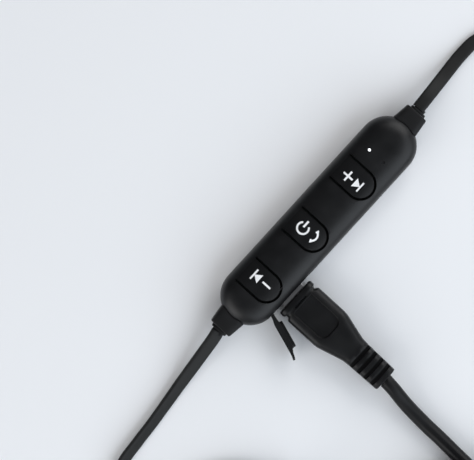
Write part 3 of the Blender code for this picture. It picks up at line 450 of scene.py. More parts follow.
def smooth_route(points, spacing):
    """Points at an even spacing along a smooth curve through a route's points."""
    knots = [Vector(p) for p in points]
    knots = [2 * knots[0] - knots[1], *knots, 2 * knots[-1] - knots[-2]]
    fine = []
    for a, b, c, d in zip(knots, knots[1:], knots[2:], knots[3:]):
        for k in range(20):
            t = k / 20
            fine.append(
                0.5 * (2 * b + (c - a) * t + (2 * a - 5 * b + 4 * c - d) * t**2
                       + (3 * b - a - 3 * c + d) * t**3)
            )
    fine.append(knots[-2])
    walked = [0.0]
    for a, b in zip(fine, fine[1:]):
        walked.append(walked[-1] + (b - a).length)
    count = max(2, round(walked[-1] / spacing))
    route, here = [], 0
    for k in range(count + 1):
        wanted = walked[-1] * k / count
        while here < len(walked) - 2 and walked[here + 1] < wanted:
            here += 1
        route.append(fine[here].lerp(fine[here + 1],
                                     (wanted - walked[here]) / (walked[here + 1] - walked[here])))
    return route


def in_metres(points, offset=(0.0, 0.0)):
    return [Vector((x * MM + offset[0], y * MM + offset[1], z * MM)) for x, y, z in points]


def sweep(name, route, outline, roll):
    """An outline of (across, up) carried along a route, turned by roll(share of the length)."""
    rings = []
    last = len(route) - 1
    for k, point in enumerate(route):
        along = (route[min(k + 1, last)] - route[max(k - 1, 0)]).normalized()
        across = along.cross(UP).normalized()
        up = across.cross(along)
        turn = roll(k / last)
        u = across * math.cos(turn) + up * math.sin(turn)
        v = up * math.cos(turn) - across * math.sin(turn)
        rings.append([point + a * u + b * v for a, b in outline])
    return ring_surface(name, rings)


SHORT_CORD_ROUTE = [
    (36.0, 0.45, 4.7), (40.0, 0.7, 4.3), (46.0, 1.1, 2.6), (52.7, 1.5, 1.4), (58.0, 1.0, 1.2),
    (62.6, -2.2, 1.2), (64.8, -8.0, 1.2), (65.0, -15.0, 1.2), (63.6, -23.0, 1.2),
    (60.5, -31.0, 1.2), (57.6, -41.0, 1.2), (56.0, -51.0, 1.2), (56.6, -60.0, 1.3),
    (54.8, -68.5, 2.2), (49.0, -76.0, 4.3),
]
LONG_CORD_ROUTE = [
    (-36.0, -0.1, 4.7), (-38.1, -0.5, 4.6), (-44.0, -1.2, 3.2), (-51.2, -2.0, 1.6),
    (-57.0, -2.7, 1.2), (-63.1, -3.4, 1.2), (-69.0, -3.9, 1.2), (-75.0, -4.7, 1.2),
    (-81.0, -7.9, 1.2), (-86.0, -14.6, 1.4), (-89.1, -23.9, 1.7),
]
LONG_CORD_END_ROUTE = [  # from the coil's centre
    (-12.7, 1.0, 2.3), (-12.2, -1.3, 2.5), (-10.8, -3.3, 3.0), (-8.8, -4.6, 3.8), (-6.5, -5.0, 4.3),
]
LEAD_CORD_ROUTE = [
    (-17.5, -38.0, 3.7), (-17.7, -40.6, 3.5), (-18.4, -45.4, 2.5), (-18.8, -51.4, 1.9),
    (-18.9, -57.0, 1.8), (-19.1, -62.4, 1.8), (-19.2, -69.2, 2.0),
]
LEAD_END_ROUTE = [
    (-20.7, -96.7, 1.9), (-28.5, -102.8, 1.9), (-36.2, -104.9, 2.1),
    (-42.0, -104.8, 3.0), (-47.0, -104.2, 3.9),
]


def ease(x, start, end):
    """0 before start, 1 after end, and smooth between."""
    t = min(max((x - start) / (end - start), 0.0), 1.0)
    return t * t * (3 - 2 * t)


def ribbon_outline():
    return oval(FLAT_WIDTH, FLAT_THICKNESS, 3.6, 28)


def rest_height(turn):
    """Where a flat cord's centre lies when it rests on the table, turned by an angle."""
    across, up = abs(math.sin(turn)), abs(math.cos(turn))
    return 0.94 * (FLAT_WIDTH * across + FLAT_THICKNESS * up) / 2 + 0.05 * MM


def lay_ribbon(name, knots, roll, nodes, **facts):
    """A flat cord that comes down from the collar and lies on the table."""
    route = smooth_route(knots, 0.8 * MM)
    last = len(route) - 1
    top = max(p.z for p in route)
    for k, point in enumerate(route):
        lying = (top - point.z) / (top - 1.2 * MM)
        point.z += (rest_height(roll(k / last)) - 1.2 * MM) * min(max(lying, 0.0), 1.0)
        point.z = max(point.z, rest_height(roll(k / last)))
    cord = sweep(name, route, ribbon_outline(), roll)
    finish_piece(cord, "pod", "flat_cord", nodes)


def build_short_cord():
    lay_ribbon(
        "flat_cord_short", in_metres(SHORT_CORD_ROUTE), lambda s: 0.12 * math.sin(9 * s),
        ["short_cord"], length=0.106, lay="loose",
    )


def build_long_cord():
    low, high = corners("long_cord_coil")
    centre = ((low.x + high.x) / 2, (low.y + high.y) / 2)
    outer = (high.x - low.x) / 2 - 0.75 * MM
    inner = outer - 4.7 * MM
    start, end = math.radians(190), math.radians(120 + 3 * 360)
    turns = []
    for k in range(91):
        a = start + (end - start) * k / 90
        r = outer + (inner - outer) * k / 90
        turns.append(Vector((centre[0] + r * math.cos(a), centre[1] + r * math.sin(a), 1.2 * MM)))
    knots = in_metres(LONG_CORD_ROUTE) + turns + in_metres(LONG_CORD_END_ROUTE, centre)

    def roll(s):
        twisted = 0.35 + 0.42 * ease(s, 0.0, 0.07) - 0.25 * ease(s, 0.08, 0.13)
        return twisted + (math.pi / 2 - 0.52) * ease(s, 0.12, 0.19)

    lay_ribbon(
        "flat_cord_long", knots, roll, ["long_cord", "long_cord_coil", "long_cord_end"],
        length=0.41, lay="coiled",
    )


def lead_route():
    """Down to the table, twice round the coil, over its own start, and on to the far plug."""
    low, high = corners("charging_cord_coil")
    centre = (low + high) / 2
    radius = (high.x - low.x) / 2 - LEAD_RADIUS
    layer = 2 * LEAD_RADIUS + 0.08 * MM
    turns = []
    for degrees in range(0, 745, 12):
        a = -math.radians(degrees)
        r = radius + 3.9 * MM * ease(degrees, 590, 700)
        stacked = ease(degrees, 275, 352) - ease(degrees, 690, 762)
        tilt = 0.3 * MM * (1 - math.cos(a))
        z = LEAD_RADIUS + 0.1 * MM + tilt + layer * stacked
        turns.append(Vector((centre.x + r * math.cos(a), centre.y + r * math.sin(a), z)))
    return in_metres(LEAD_CORD_ROUTE) + turns + in_metres(LEAD_END_ROUTE)


def build_lead_cord(on_it):
    route = smooth_route(lead_route(), 1.0 * MM)
    cord = sweep("lead_cord", route, oval(2 * LEAD_RADIUS, 2 * LEAD_RADIUS, 2, 24), lambda s: 0.0)
    nodes = ["charging_cord", "charging_cord_coil", "charging_cord_end"]
    finish_piece(cord, "charging_lead", "lead_cord", nodes)


def build_ties():
    for node, body in (("long_cord_tie", "pod"), ("charging_cord_tie", "charging_lead")):
        low, high = corners(node)
        wall = 0.55 * MM
        band = soften(box(node.replace("_tie", "_strap"), low, high), 0.5 * MM, 3)
        gap = box("gap", (low.x + wall, low.y - MM, low.z + wall),
                  (high.x - wall, high.y + MM, high.z - wall))
        combine(band, "DIFFERENCE", gap)
        finish_piece(band, body, "rubber", [node])


# ------------------------ edges and outlines


def tidy_mesh(obj, distance=0.006 * MM):
    """Merges the slivers that a cut leaves."""
    bm = bmesh.new()
    bm.from_mesh(obj.data)
    bmesh.ops.remove_doubles(bm, verts=bm.verts, dist=distance)
    bmesh.ops.dissolve_degenerate(bm, dist=distance, edges=bm.edges)
    bm.to_mesh(obj.data)
    bm.free()
    return obj


def soften_some(obj, width, keep, angle=35):
    """Rounds the sharp edges whose middle point keep() accepts."""
    tidy_mesh(obj)
    bm = bmesh.new()
    bm.from_mesh(obj.data)
    layer = bm.edges.layers.float.new("bevel_weight_edge")
    for edge in bm.edges:
        if len(edge.link_faces) == 2 and edge.calc_face_angle(0.0) > math.radians(angle):
            if keep((edge.verts[0].co + edge.verts[1].co) / 2):
                edge[layer] = 1.0
    bm.to_mesh(obj.data)
    bm.free()
    return soften(obj, width, limit="WEIGHT")


def rounded_rectangle(width, height, radius, steps=6, centre=(0.0, 0.0)):
    points = []
    for k, (a, b) in enumerate(((1, 1), (-1, 1), (-1, -1), (1, -1))):
        corner = (centre[0] + a * (width / 2 - radius), centre[1] + b * (height / 2 - radius))
        points += arc(corner, radius, k * math.pi / 2, (k + 1) * math.pi / 2, steps)
    return points


def prism_along_y(name, outline, low_y, high_y):
    """An outline of (x, z) given thickness along Y."""
    rings = [[(x, y, z) for x, z in outline] for y in (low_y, high_y)]
    return ring_surface(name, rings)


def at_z(name, centre, profile, steps=48):
    return turned(name, profile, Matrix.Translation(Vector(centre)), steps)


def millimetres(points):
    return [(a * MM, b * MM) for a, b in points]


def relief_profile(length, root, end, steps, groove, first, last, rings, stub):
    """A tapered relief, ringed with grooves, and the stub that enters its cord."""
    profile = [(0.0, 0.0)]
    for k in range(steps + 1):
        s = k / steps
        cut = groove if first < s < last and (s * rings) % 1 > 0.55 else 0.0
        profile.append((root + (end - root) * s - cut, length * s))
    radius, reach = stub
    return [*profile, (radius, length), (radius, length + reach), (0.0, length + reach)]


# ------------------------ control pod


def pod_ring(half_width, z, runs=16, steps=32):
    """A stadium at a height, with its straight sides divided."""
    reach = (POD_LENGTH - POD_WIDTH) / 2
    right = arc((reach, 0.0), half_width, -math.pi / 2, math.pi / 2, steps)
    left = arc((-reach, 0.0), half_width, math.pi / 2, 3 * math.pi / 2, steps)
    along = [reach * (1 - 2 * k / runs) for k in range(1, runs)]
    outline = right + [(x, half_width) for x in along] + left + [(-x, -half_width) for x in along]
    return [(x, y, z) for x, y in outline]


def pod_form(name, inset=0.0):
    """The pod's crowned outside, or the same form moved in or out by a distance."""
    half_width = POD_WIDTH / 2 - inset
    rings = []
    for degrees in SECTION_DEGREES:
        a = math.radians(degrees)
        power = CROWN_POWER if a > 0 else BACK_POWER
        height = (POD_TOP - PARTING_Z if a > 0 else PARTING_Z) - inset
        across = math.cos(a) ** (2 / power)
        up = math.copysign(abs(math.sin(a)) ** (2 / power), a)
        rings.append(pod_ring(half_width * across, PARTING_Z + height * up))
    return ring_surface(name, rings)


def crown_z(y):
    """The height of the crown over the pod's straight part."""
    across = abs(y) / (POD_WIDTH / 2)
    return PARTING_Z + (POD_TOP - PARTING_Z) * (1 - across**CROWN_POWER) ** (1 / CROWN_POWER)


def key_outline(node, margin=0.0, past_root=0.0):
    """A tongue with a round free end at low Y and a square root at high Y."""
    low, high = corners(node)
    x = (low.x + high.x) / 2
    inner = (high.x - low.x) / 2
    radius = inner + margin
    end = arc((x, low.y + inner), radius, math.pi, 2 * math.pi, 28)
    return end + [(x + radius, high.y + past_root), (x - radius, high.y + past_root)]


def recess_cutters():
    """The flap's recess, and the window behind it for the socket."""
    centre = ((RECESS_LOW_X + RECESS_HIGH_X) / 2, PORT_Z)
    outline = rounded_rectangle(RECESS_HIGH_X - RECESS_LOW_X, RECESS_HEIGHT, 0.5 * MM, 5, centre)
    recess = prism_along_y("recess", outline, -POD_WIDTH, PORT_WALL_BACK - PORT_WALL)
    opening = rounded_rectangle(8.2 * MM, 3.0 * MM, 0.5 * MM, 4, (PORT_X, PORT_Z))
    window = prism_along_y("window", opening, -POD_WIDTH, PORT_WALL_BACK + MM)
    return recess, window


def cavity_form():
    """The pod's hollow, without the solid wall round the port."""
    cavity = pod_form("cavity", WALL)
    top = PORT_Z + RECESS_HEIGHT / 2 + 0.6 * MM
    wall = box(
        "port_wall", (RECESS_LOW_X - PORT_WALL_MARGIN, -POD_WIDTH, -POD_WIDTH),
        (RECESS_HIGH_X + PORT_WALL_MARGIN, PORT_WALL_BACK, top),
    )
    return combine(cavity, "DIFFERENCE", wall)


def build_shells():
    root_y = corners("key_power")[1].y
    for name, node, low_z, high_z in (
        ("shell_top", "upper_shell", PARTING_Z + PARTING_GAP / 2, 2 * POD_TOP),
        ("shell_back", "lower_shell", -POD_TOP, PARTING_Z - PARTING_GAP / 2),
    ):
        shell = pod_form(name)
        combine(shell, "INTERSECT",
                box("half", (-POD_LENGTH, -POD_WIDTH, low_z), (POD_LENGTH, POD_WIDTH, high_z)))
        combine(shell, "DIFFERENCE", cavity_form(), *recess_cutters())
        for side in (-1, 1):
            x = side * POD_LENGTH / 2
            neck = box("neck", (x - 3 * MM, -2.35 * MM, COLLAR_Z - 1.65 * MM),
                       (x + 3 * MM, 2.35 * MM, COLLAR_Z + 1.65 * MM))
            combine(shell, "DIFFERENCE", neck)
        if name == "shell_top":
            pierce(shell)
        soften_some(shell, 0.16 * MM, lambda p: abs(p.y - root_y) > 0.02 * MM)
        if name == "shell_back":
            add_posts(shell)
        finish_piece(shell, "pod", "shell", [node], angle=38)


def pierce(shell):
    """The keys' grooves and the holes for the status light and the microphone."""
    for key in KEYS:
        hole = prism("hole", key_outline(key, KEY_GROOVE), PARTING_Z + 1.2 * MM, 2 * POD_TOP)
        combine(shell, "DIFFERENCE", hole)
    for node, radius in (("light_pipe", 0.36 * MM), ("microphone_gasket", 0.3 * MM)):
        centre = middle(node)
        low_z, high_z = PARTING_Z + MM, 2 * POD_TOP
        profile = [(0.0, low_z), (radius, low_z), (radius, high_z), (0.0, high_z)]
        combine(shell, "DIFFERENCE", at_z("hole", (centre.x, centre.y, 0.0), profile, 24))


def add_posts(shell):
    """The two posts that carry the board."""
    low, high = corners("circuit_board")
    for x in (low.x + MM, high.x - MM):
        top = low.z - 0.12 * MM
        profile = [(0.0, WALL / 2), (MM, WALL / 2), (MM, top), (0.0, top)]
        combine(shell, "UNION", at_z("post", (x, 0.0, 0.0), profile, 24))


def bend_with_key(piece):
    """Bakes the piece's placement into its mesh; it is not bent here, though the real tongue bends just in
    front of its root.
    """
    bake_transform(piece)


def build_keys():
    for key in KEYS:
        low, high = corners(key)
        tongue = prism(key.replace("key", "tongue"), key_outline(key, 0.0, MM),
                       PARTING_Z + 1.2 * MM, 2 * POD_TOP)
        combine(tongue, "INTERSECT", pod_form("outside"))
        combine(tongue, "DIFFERENCE", pod_form("inside", WALL))
        soften_some(tongue, 0.18 * MM, lambda p: True)
        combine(tongue, "INTERSECT",
                box("root", (low.x - MM, low.y - MM, 0.0), (high.x + MM, high.y, 2 * POD_TOP)))
        top = POD_TOP - WALL / 2
        stem = [
            (0.0, low.z), (STEM_RADIUS - 0.1 * MM, low.z), (STEM_RADIUS, low.z + 0.1 * MM),
            (STEM_RADIUS, top), (0.0, top),
        ]
        combine(tongue, "UNION", at_z("stem", ((low.x + high.x) / 2, STEM_Y, 0.0), stem, 24))
        finish_piece(tongue, None, "key", [key], angle=38)
        bend_with_key(tongue)
        build_icon(key)


# ------------------------ generic pictograms on the keys


def bar(low, high):
    return [low, (high[0], low[1]), high, (low[0], high[1])]


def stroke(centre, radius, start, end, widths, steps=14):
    """A curved stroke about a centre, from one angle to another, of changing width."""
    outer, inner = [], []
    for k in range(steps + 1):
        a = math.radians(start + (end - start) * k / steps)
        half = widths(k / steps) / 2
        for side, r in ((outer, radius + half), (inner, radius - half)):
            side.append((centre[0] + r * math.cos(a), centre[1] + r * math.sin(a)))
    return outer + inner[::-1]


def previous_icon():
    return [
        bar((-1.45, 2.56), (1.45, 3.0)),
        [(-1.25, 0.95), (1.25, 0.95), (0.1, 2.58), (-0.1, 2.58)],
        bar((-0.24, -2.4), (0.24, 0.06)),
    ]


def power_icon():
    return [
        stroke((-0.05, 1.6), 1.42, 40, 320, lambda s: 0.48, 26),
        bar((0.2, 1.4), (2.05, 1.92)),
        stroke((0.2, -0.95), 1.5, 203, 343, lambda s: 0.46 + min(0.42, max(0, 4 * abs(s - 0.5) - 1.3)), 20),
    ]


def next_icon():
    return [
        bar((-1.9, 1.76), (0.9, 2.24)),
        bar((-0.74, 0.6), (-0.26, 3.4)),
        [(-1.8, -0.08), (-0.65, -1.7), (-0.5, -1.7), (0.7, -0.08)],
        bar((-1.9, -2.12), (0.8, -1.7)),
    ]


def build_icon(key):
    """Ink a little proud of the tongue, in millimetres about the key's centre line."""
    shapes = {"key_previous": previous_icon, "key_power": power_icon, "key_next": next_icon}[key]()
    centre_x = middle(key).x + (0.35 * MM if key == "key_previous" else 0.0)
    ink = None
    for shape in shapes:
        outline = [(centre_x + x * MM, y * MM) for x, y in shape]
        piece = prism(key.replace("key", "icon"), outline, POD_TOP - 0.35 * MM, POD_TOP + MM)
        ink = combine(ink, "UNION", piece) if ink else piece
    combine(ink, "INTERSECT", pod_form("ink_surface", -0.025 * MM))
    finish_piece(ink, None, "ink", angle=30)
    bend_with_key(ink)


def build_light():
    """The light pipe's domed end fills its hole, with its stepped foot under the shell."""
    low, high = corners("light_pipe")
    centre = middle("light_pipe")
    radius = 0.3 * MM
    foot = (high.x - low.x) / 2
    seat = POD_TOP - WALL - 0.12 * MM
    rim = crown_z(centre.y) - 0.05 * MM
    profile = [(0.0, low.z), (radius, low.z), (foot, low.z + 0.6 * MM), (foot, seat), (radius, seat)]
    for k in range(6):
        a = math.radians(18 * k)
        profile.append((radius * math.cos(a), rim + 0.1 * MM * math.sin(a)))
    pipe = at_z("light_dome", (centre.x, centre.y, 0.0), [*profile[:-1], (0.0, rim + 0.1 * MM)], 32)
    finish_piece(pipe, "pod", "lamp", ["light_pipe"])


# ------------------------ collars and port flap


def build_collars():
    nub = 0.7 * MM
    for node, turn in (("collar_short_cord", 0.0), ("collar_long_cord", math.pi)):
        low, high = corners(node)
        tip = max(abs(low.x), abs(high.x)) - nub
        end = POD_LENGTH / 2
        matrix = Matrix.Translation((0.0, 0.0, COLLAR_Z)) @ Matrix.Rotation(turn, 4, "Z")

        def taper(x):
            share = (x - (end - 3 * MM)) / (tip - (end - 3 * MM))
            return (7.6 - 1.6 * share) * MM, (6.6 - 1.8 * share) * MM

        stations = [(x, *taper(x), 4.6) for x in (end - 3 * MM, end - MM, end + 1.2 * MM, tip - 0.35 * MM)]
        width, height = taper(tip)
        stations.append((tip - 0.1 * MM, width - 0.15 * MM, height - 0.15 * MM, 4.6))
        stations.append((tip, width - 0.55 * MM, height - 0.55 * MM, 4.2))
        boot = loft(node.replace("collar", "boot"), stations, matrix, 56)
        combine(boot, "DIFFERENCE", pod_form("seam", -0.13 * MM))
        combine(boot, "UNION", loft("nub", [
            (tip - MM, 4.5 * MM, 2.8 * MM, 3.2), (tip + nub - 0.15 * MM, 4.2 * MM, 2.5 * MM, 3.2),
            (tip + nub, 3.9 * MM, 2.2 * MM, 3.2),
        ], matrix, 40))
        combine(boot, "UNION", loft("mouth", [
            (tip, 2.9 * MM, 1.05 * MM, 3.2), (tip + nub + 0.8 * MM, 2.9 * MM, 1.05 * MM, 3.2),
        ], matrix, 24))
        flange_high = end - WALL - 1.1 * MM
        anchor = (
            ("neck", (flange_high - 0.4 * MM, end + 1.5 * MM), 4.4 * MM, 3.0 * MM),
            ("flange", (flange_high - MM, flange_high), 6.0 * MM, 4.4 * MM),
        )
        for name, ends, width, height in anchor:
            combine(boot, "UNION", loft(name, [(x, width, height, 8) for x in ends], matrix))
        finish_piece(tidy_mesh(boot), "pod", "rubber", [node], angle=35)


def joint(name):
    return next(j for j in frame["joints"] if j["name"] == name)


def build_flap():
    """Drawn shut along +X from its hinge, with its outer face at low Y, then turned open."""
    hinge = Vector(joint("flap_close")["pos_m"])
    half = RECESS_HEIGHT / 2 - 0.2 * MM
    outline = [
        (0.0, -0.45), (1.8, -0.5), (2.6, -0.68), (3.2, -0.78), (3.6, -0.8), (9.4, -0.8), (11.0, -0.82),
        (12.1, -0.9), (12.75, -1.05), (12.8, -0.5), (12.3, -0.32), (11.4, -0.15), (10.85, -0.05),
        (10.7, 0.12), (10.2, 0.2), (10.1, 0.62), (3.4, 0.62), (2.6, 0.5), (1.6, 0.4), (0.0, 0.4),
    ]
    flap = prism("port_cover", millimetres(outline), -half, half)
    soften(flap, 0.16 * MM, 3, 30)
    tab_x = PORT_X - hinge.x
    tab = prism_along_y(
        "tab", rounded_rectangle(7.0 * MM, 2.4 * MM, 0.7 * MM, 6, (tab_x, 0.0)), 0.1 * MM, 1.3 * MM
    )
    soften(tab, 0.2 * MM, 3, 50)
    well = prism_along_y(
        "well", rounded_rectangle(5.4 * MM, 1.1 * MM, 0.4 * MM, 4, (tab_x, 0.0)), 0.5 * MM, 3 * MM
    )
    combine(tab, "DIFFERENCE", well)
    knuckle = turned("knuckle", [
        (0.0, -half), (0.5 * MM, -half), (0.65 * MM, -half + 0.15 * MM), (0.65 * MM, half - 0.15 * MM),
        (0.5 * MM, half), (0.0, half),
    ], steps=28)
    combine(flap, "UNION", tab, knuckle)
    flap.data.transform(Matrix.Translation(hinge) @ Matrix.Rotation(FLAP_OPEN, 4, "Z"))
    finish_piece(tidy_mesh(flap), "port_flap", "rubber", ["port_flap"], angle=35)


# ------------------------ charging lead's micro plug


def plug_frame():
    return Matrix.Translation((PLUG_X, NOSE_Y, PORT_Z)) @ Matrix.Rotation(-math.pi / 2, 4, "Z")


def build_micro_plug():
    """Along +X from the nose: a flange, side notches, the body, and the taper to the relief."""
    stations = [
        (0.0, 10.1, 6.2, 4.6), (0.12, 10.5, 6.5, 4.6), (0.35, 10.75, 6.7, 4.6), (1.15, 10.75, 6.75, 4.6),
        (1.4, 10.55, 6.75, 4.6), (1.6, 9.9, 6.7, 4.8), (1.75, 9.45, 6.68, 5.0), (2.15, 9.45, 6.68, 5.0),
        (2.35, 9.9, 6.7, 4.8), (2.75, 10.8, 6.78, 4.6), (3.0, 11.0, 6.8, 4.6), (5.5, 11.0, 6.8, 4.6),
        (8.5, 11.0, 6.8, 4.6), (11.2, 11.0, 6.8, 4.6), (12.0, 10.85, 6.78, 4.5), (13.3, 10.25, 6.7, 4.3),
        (15.0, 9.3, 6.5, 4.1), (16.6, 8.4, 6.3, 3.9), (17.9, 7.7, 6.1, 3.8), (18.9, 7.25, 5.92, 3.7),
        (19.7, 7.06, 5.84, 3.6), (20.5, 7.0, 5.8, 3.6), (20.6, 6.9, 5.7, 3.6),
    ]
    body = loft("plug_body", [(s * MM, w * MM, h * MM, p) for s, w, h, p in stations], plug_frame(), 72)
    for side in (-1, 1):
        combine(body, "DIFFERENCE", panel_cutter(side), slit_cutter(side))
    tidy_mesh(body)
    finish_piece(body, "charging_lead", "moulding", ["micro_plug_overmold"], angle=30)


def panel_cutter(side):
    """A thumb panel with sloped walls: square at the groove, round towards the cord."""
    def outline(grow):
        half, radius = 3.1 * MM + grow, 1.9 * MM + grow
        low, high = 2.55 * MM - grow, 12.1 * MM + grow
        near = arc((high - radius, half - radius), radius, math.pi / 2, 0.0, 10)
        far = arc((high - radius, radius - half), radius, 0.0, -math.pi / 2, 10)
        return [(low, half), *near, *far, (low, -half)]

    floor, rim = 2.98 * MM, 3.6 * MM
    rings = [[(x, y, side * z) for x, y in outline(grow)] for z, grow in ((floor, 0.0), (rim, 0.5 * MM))]
    return ring_surface("panel", rings, plug_frame())


def slit_cutter(side):
    """A short groove across the moulding, with a V section."""
    middle_s, top, depth = 1.85 * MM, 3.5 * MM, 0.5 * MM
    rings = []
    for half_s, half_y, z in ((0.02 * MM, 1.85 * MM, top - depth), (0.42 * MM, 2.2 * MM, top)):
        corner = ((-1, -1), (1, -1), (1, 1), (-1, 1))
        rings.append([(middle_s + a * half_s, b * half_y, side * z) for a, b in corner])
    return ring_surface("slit", rings, plug_frame())


def build_micro_relief():
    """A tapered relief with slots cut from both faces, its sides left as rails."""
    low = corners("micro_plug_relief")[0]
    start, end = 20.3 * MM, NOSE_Y - low.y
    first = 21.25 * MM
    length = end - start

    def width(s):
        return 6.95 * MM - 0.42 * MM * (s - start) / length

    stations = [(start, width(start) - 0.1 * MM, 5.7 * MM, 3.6)]
    stations += [(s, width(s), 5.8 * MM - 0.3 * MM * (s - start) / length, 3.4) for s in
                 (start + k * length / 10 for k in range(1, 10))]
    stations += [(end - 0.2 * MM, width(end), 5.5 * MM, 3.3), (end, width(end) - 0.4 * MM, 5.1 * MM, 3.2)]
    relief = loft("plug_relief", stations, plug_frame(), 56)
    for k in range(4):
        s = first + k * 2.13 * MM
        for side in (-1, 1):
            outline = rounded_rectangle(1.0 * MM, width(s) - 0.3 * MM, 0.2 * MM, 3, (s, 0.0))
            ends = sorted((side * 1.5 * MM, side * 4 * MM))
            combine(relief, "DIFFERENCE", prism("slot", outline, *ends, plug_frame()))
    soften(tidy_mesh(relief), 0.1 * MM, 2, 45)
    combine(relief, "UNION", loft("mouth", [
        (end - MM, 3.2 * MM, 3.2 * MM, 2), (end + 0.9 * MM, 3.2 * MM, 3.2 * MM, 2),
    ], plug_frame(), 28))
    finish_piece(relief, "charging_lead", "moulding", ["micro_plug_relief"], angle=32)


def trapezoid(width, height, chamfer, inset=0.0):
    """The micro plug's mouth: flat on top, with the lower corners cut off."""
    a, b = width / 2 - inset, height / 2 - inset
    c = chamfer
    return [(-a + c, -b), (a - c, -b), (a, -b + 1.3 * c), (a, b - 0.12 * MM), (a - 0.12 * MM, b),
            (-a + 0.12 * MM, b), (-a, b - 0.12 * MM), (-a, -b + 1.3 * c)]


def build_micro_shell():
    low, high = corners("micro_plug_shell")
    width, height = high.x - low.x, high.z - low.z

    def tube_part(name, inset, low_y, high_y):
        outline = [(PLUG_X + x, PORT_Z + z) for x, z in trapezoid(width, height, 0.55 * MM, inset)]
        return prism_along_y(name, outline, low_y, high_y)

    shell = tube_part("plug_shell", 0.0, low.y, high.y)
    combine(shell, "DIFFERENCE", tube_part("hollow", 0.25 * MM, low.y - MM, high.y + MM))
    for side in (-1, 1):
        latch = box("latch", (PLUG_X + side * 2.1 * MM - 0.45 * MM, high.y - 3.6 * MM, PORT_Z),
                    (PLUG_X + side * 2.1 * MM + 0.45 * MM, high.y - 2.2 * MM, PORT_Z + 2 * MM))
        combine(shell, "DIFFERENCE", latch)
    soften(tidy_mesh(shell), 0.05 * MM, 2, 50)
    finish_piece(shell, "charging_lead", "steel", ["micro_plug_shell"], angle=30)


# ------------------------ the lead's far plug


def far_plug_frame():
    """+X points from the cord's end of the far plug to its mouth, which is -X of the part."""
    body = corners("usb_plug_overmold")
    centre = (body[0] + body[1]) / 2
    start = Vector((body[1].x, centre.y, centre.z))
    return Matrix.Translation(start) @ Matrix.Rotation(math.pi, 4, "Z")


def build_far_plug():
    """The moulded grip, its relief, the shell with its square holes, and the contacts."""
    at = far_plug_frame()
    stations = [
        (0.0, 8.4, 5.6, 3.0), (0.3, 9.2, 6.1, 3.2), (1.4, 10.2, 6.6, 3.4), (3.2, 12.4, 7.1, 3.8),
        (5.0, 14.3, 7.5, 4.2), (6.6, 15.2, 7.6, 4.4), (8.0, 15.4, 7.6, 4.6), (13.5, 15.4, 7.6, 4.6),
        (19.3, 15.4, 7.6, 4.6), (19.75, 15.2, 7.4, 4.6), (20.0, 14.7, 6.9, 4.6),
    ]
    body = loft("usb_grip", [(s * MM, w * MM, h * MM, p) for s, w, h, p in stations], at, 72)
    for side in (-1, 1):
        for k in range(6):
            groove = rounded_rectangle(0.55 * MM, 8.6 * MM, 0.27 * MM, 5, ((8.6 + 1.5 * k) * MM, 0.0))
            ends = sorted((side * 3.45 * MM, side * 5 * MM))
            combine(body, "DIFFERENCE", prism("groove", groove, *ends, at))
    finish_piece(tidy_mesh(body), "charging_lead", "moulding", ["usb_plug_overmold"])

    low, high = corners("usb_plug_relief")
    profile = relief_profile(
        high.x - low.x, (high.y - low.y) / 2, 1.4 * LEAD_RADIUS, steps=40, groove=0.32 * MM,
        first=0.12, last=0.95, rings=5.5, stub=(1.55 * MM, 1.2 * MM),
    )
    stand = Matrix.Translation((low.x, (low.y + high.y) / 2, (low.z + high.z) / 2))
    relief = turned("usb_relief", profile, stand @ Matrix.Rotation(math.pi / 2, 4, "Y"), 40)
    finish_piece(relief, "charging_lead", "moulding", ["usb_plug_relief"])
    return [body, relief, *build_far_shell(at)]


def build_far_shell(at):
    low, high = corners("usb_plug_shell")
    width, height, length = high.y - low.y, high.z - low.z, high.x - low.x
    start = 20.12 * MM
    turn = at @ Matrix.Rotation(math.pi / 2, 4, "Y")
    outline = [(-z, y) for y, z in rounded_rectangle(width, height, 0.55 * MM, 6)]
    inside = [(-z, y) for y, z in rounded_rectangle(width - 0.6 * MM, height - 0.6 * MM, 0.3 * MM, 6)]
    shell = prism("usb_shell", outline, start, start + length, turn)
    combine(shell, "DIFFERENCE", prism("hollow", inside, start - MM, start + length + MM, turn))
    for x in (-2.6 * MM, 2.6 * MM):
        square = rounded_rectangle(2.0 * MM, 2.4 * MM, 0.15 * MM, 3, (start + length - 6.2 * MM, x))
        combine(shell, "DIFFERENCE", prism("square", square, -5 * MM, 5 * MM, at))
    soften(tidy_mesh(shell), 0.06 * MM, 2, 50)
    finish_piece(shell, "charging_lead", "steel", ["usb_plug_shell"])

    low, high = corners("usb_plug_tongue")
    tongue = soften(box("usb_tongue", low, high), 0.15 * MM, 2)
    finish_piece(tongue, "charging_lead", "ceramic", ["usb_plug_tongue"])
    contacts = None
    for y in (-3.5, -1.0, 1.0, 3.5):
        centre_y = (low.y + high.y) / 2 + y * MM
        strip = box("usb_contacts", (low.x + 0.8 * MM, centre_y - 0.5 * MM, high.z - 0.1 * MM),
                    (high.x - 2 * MM, centre_y + 0.5 * MM, high.z + 0.05 * MM))
        contacts = combine(contacts, "UNION", strip) if contacts else strip
    finish_piece(contacts, "charging_lead", "gold")
    return [shell, tongue, contacts]


# ------------------------ earbuds


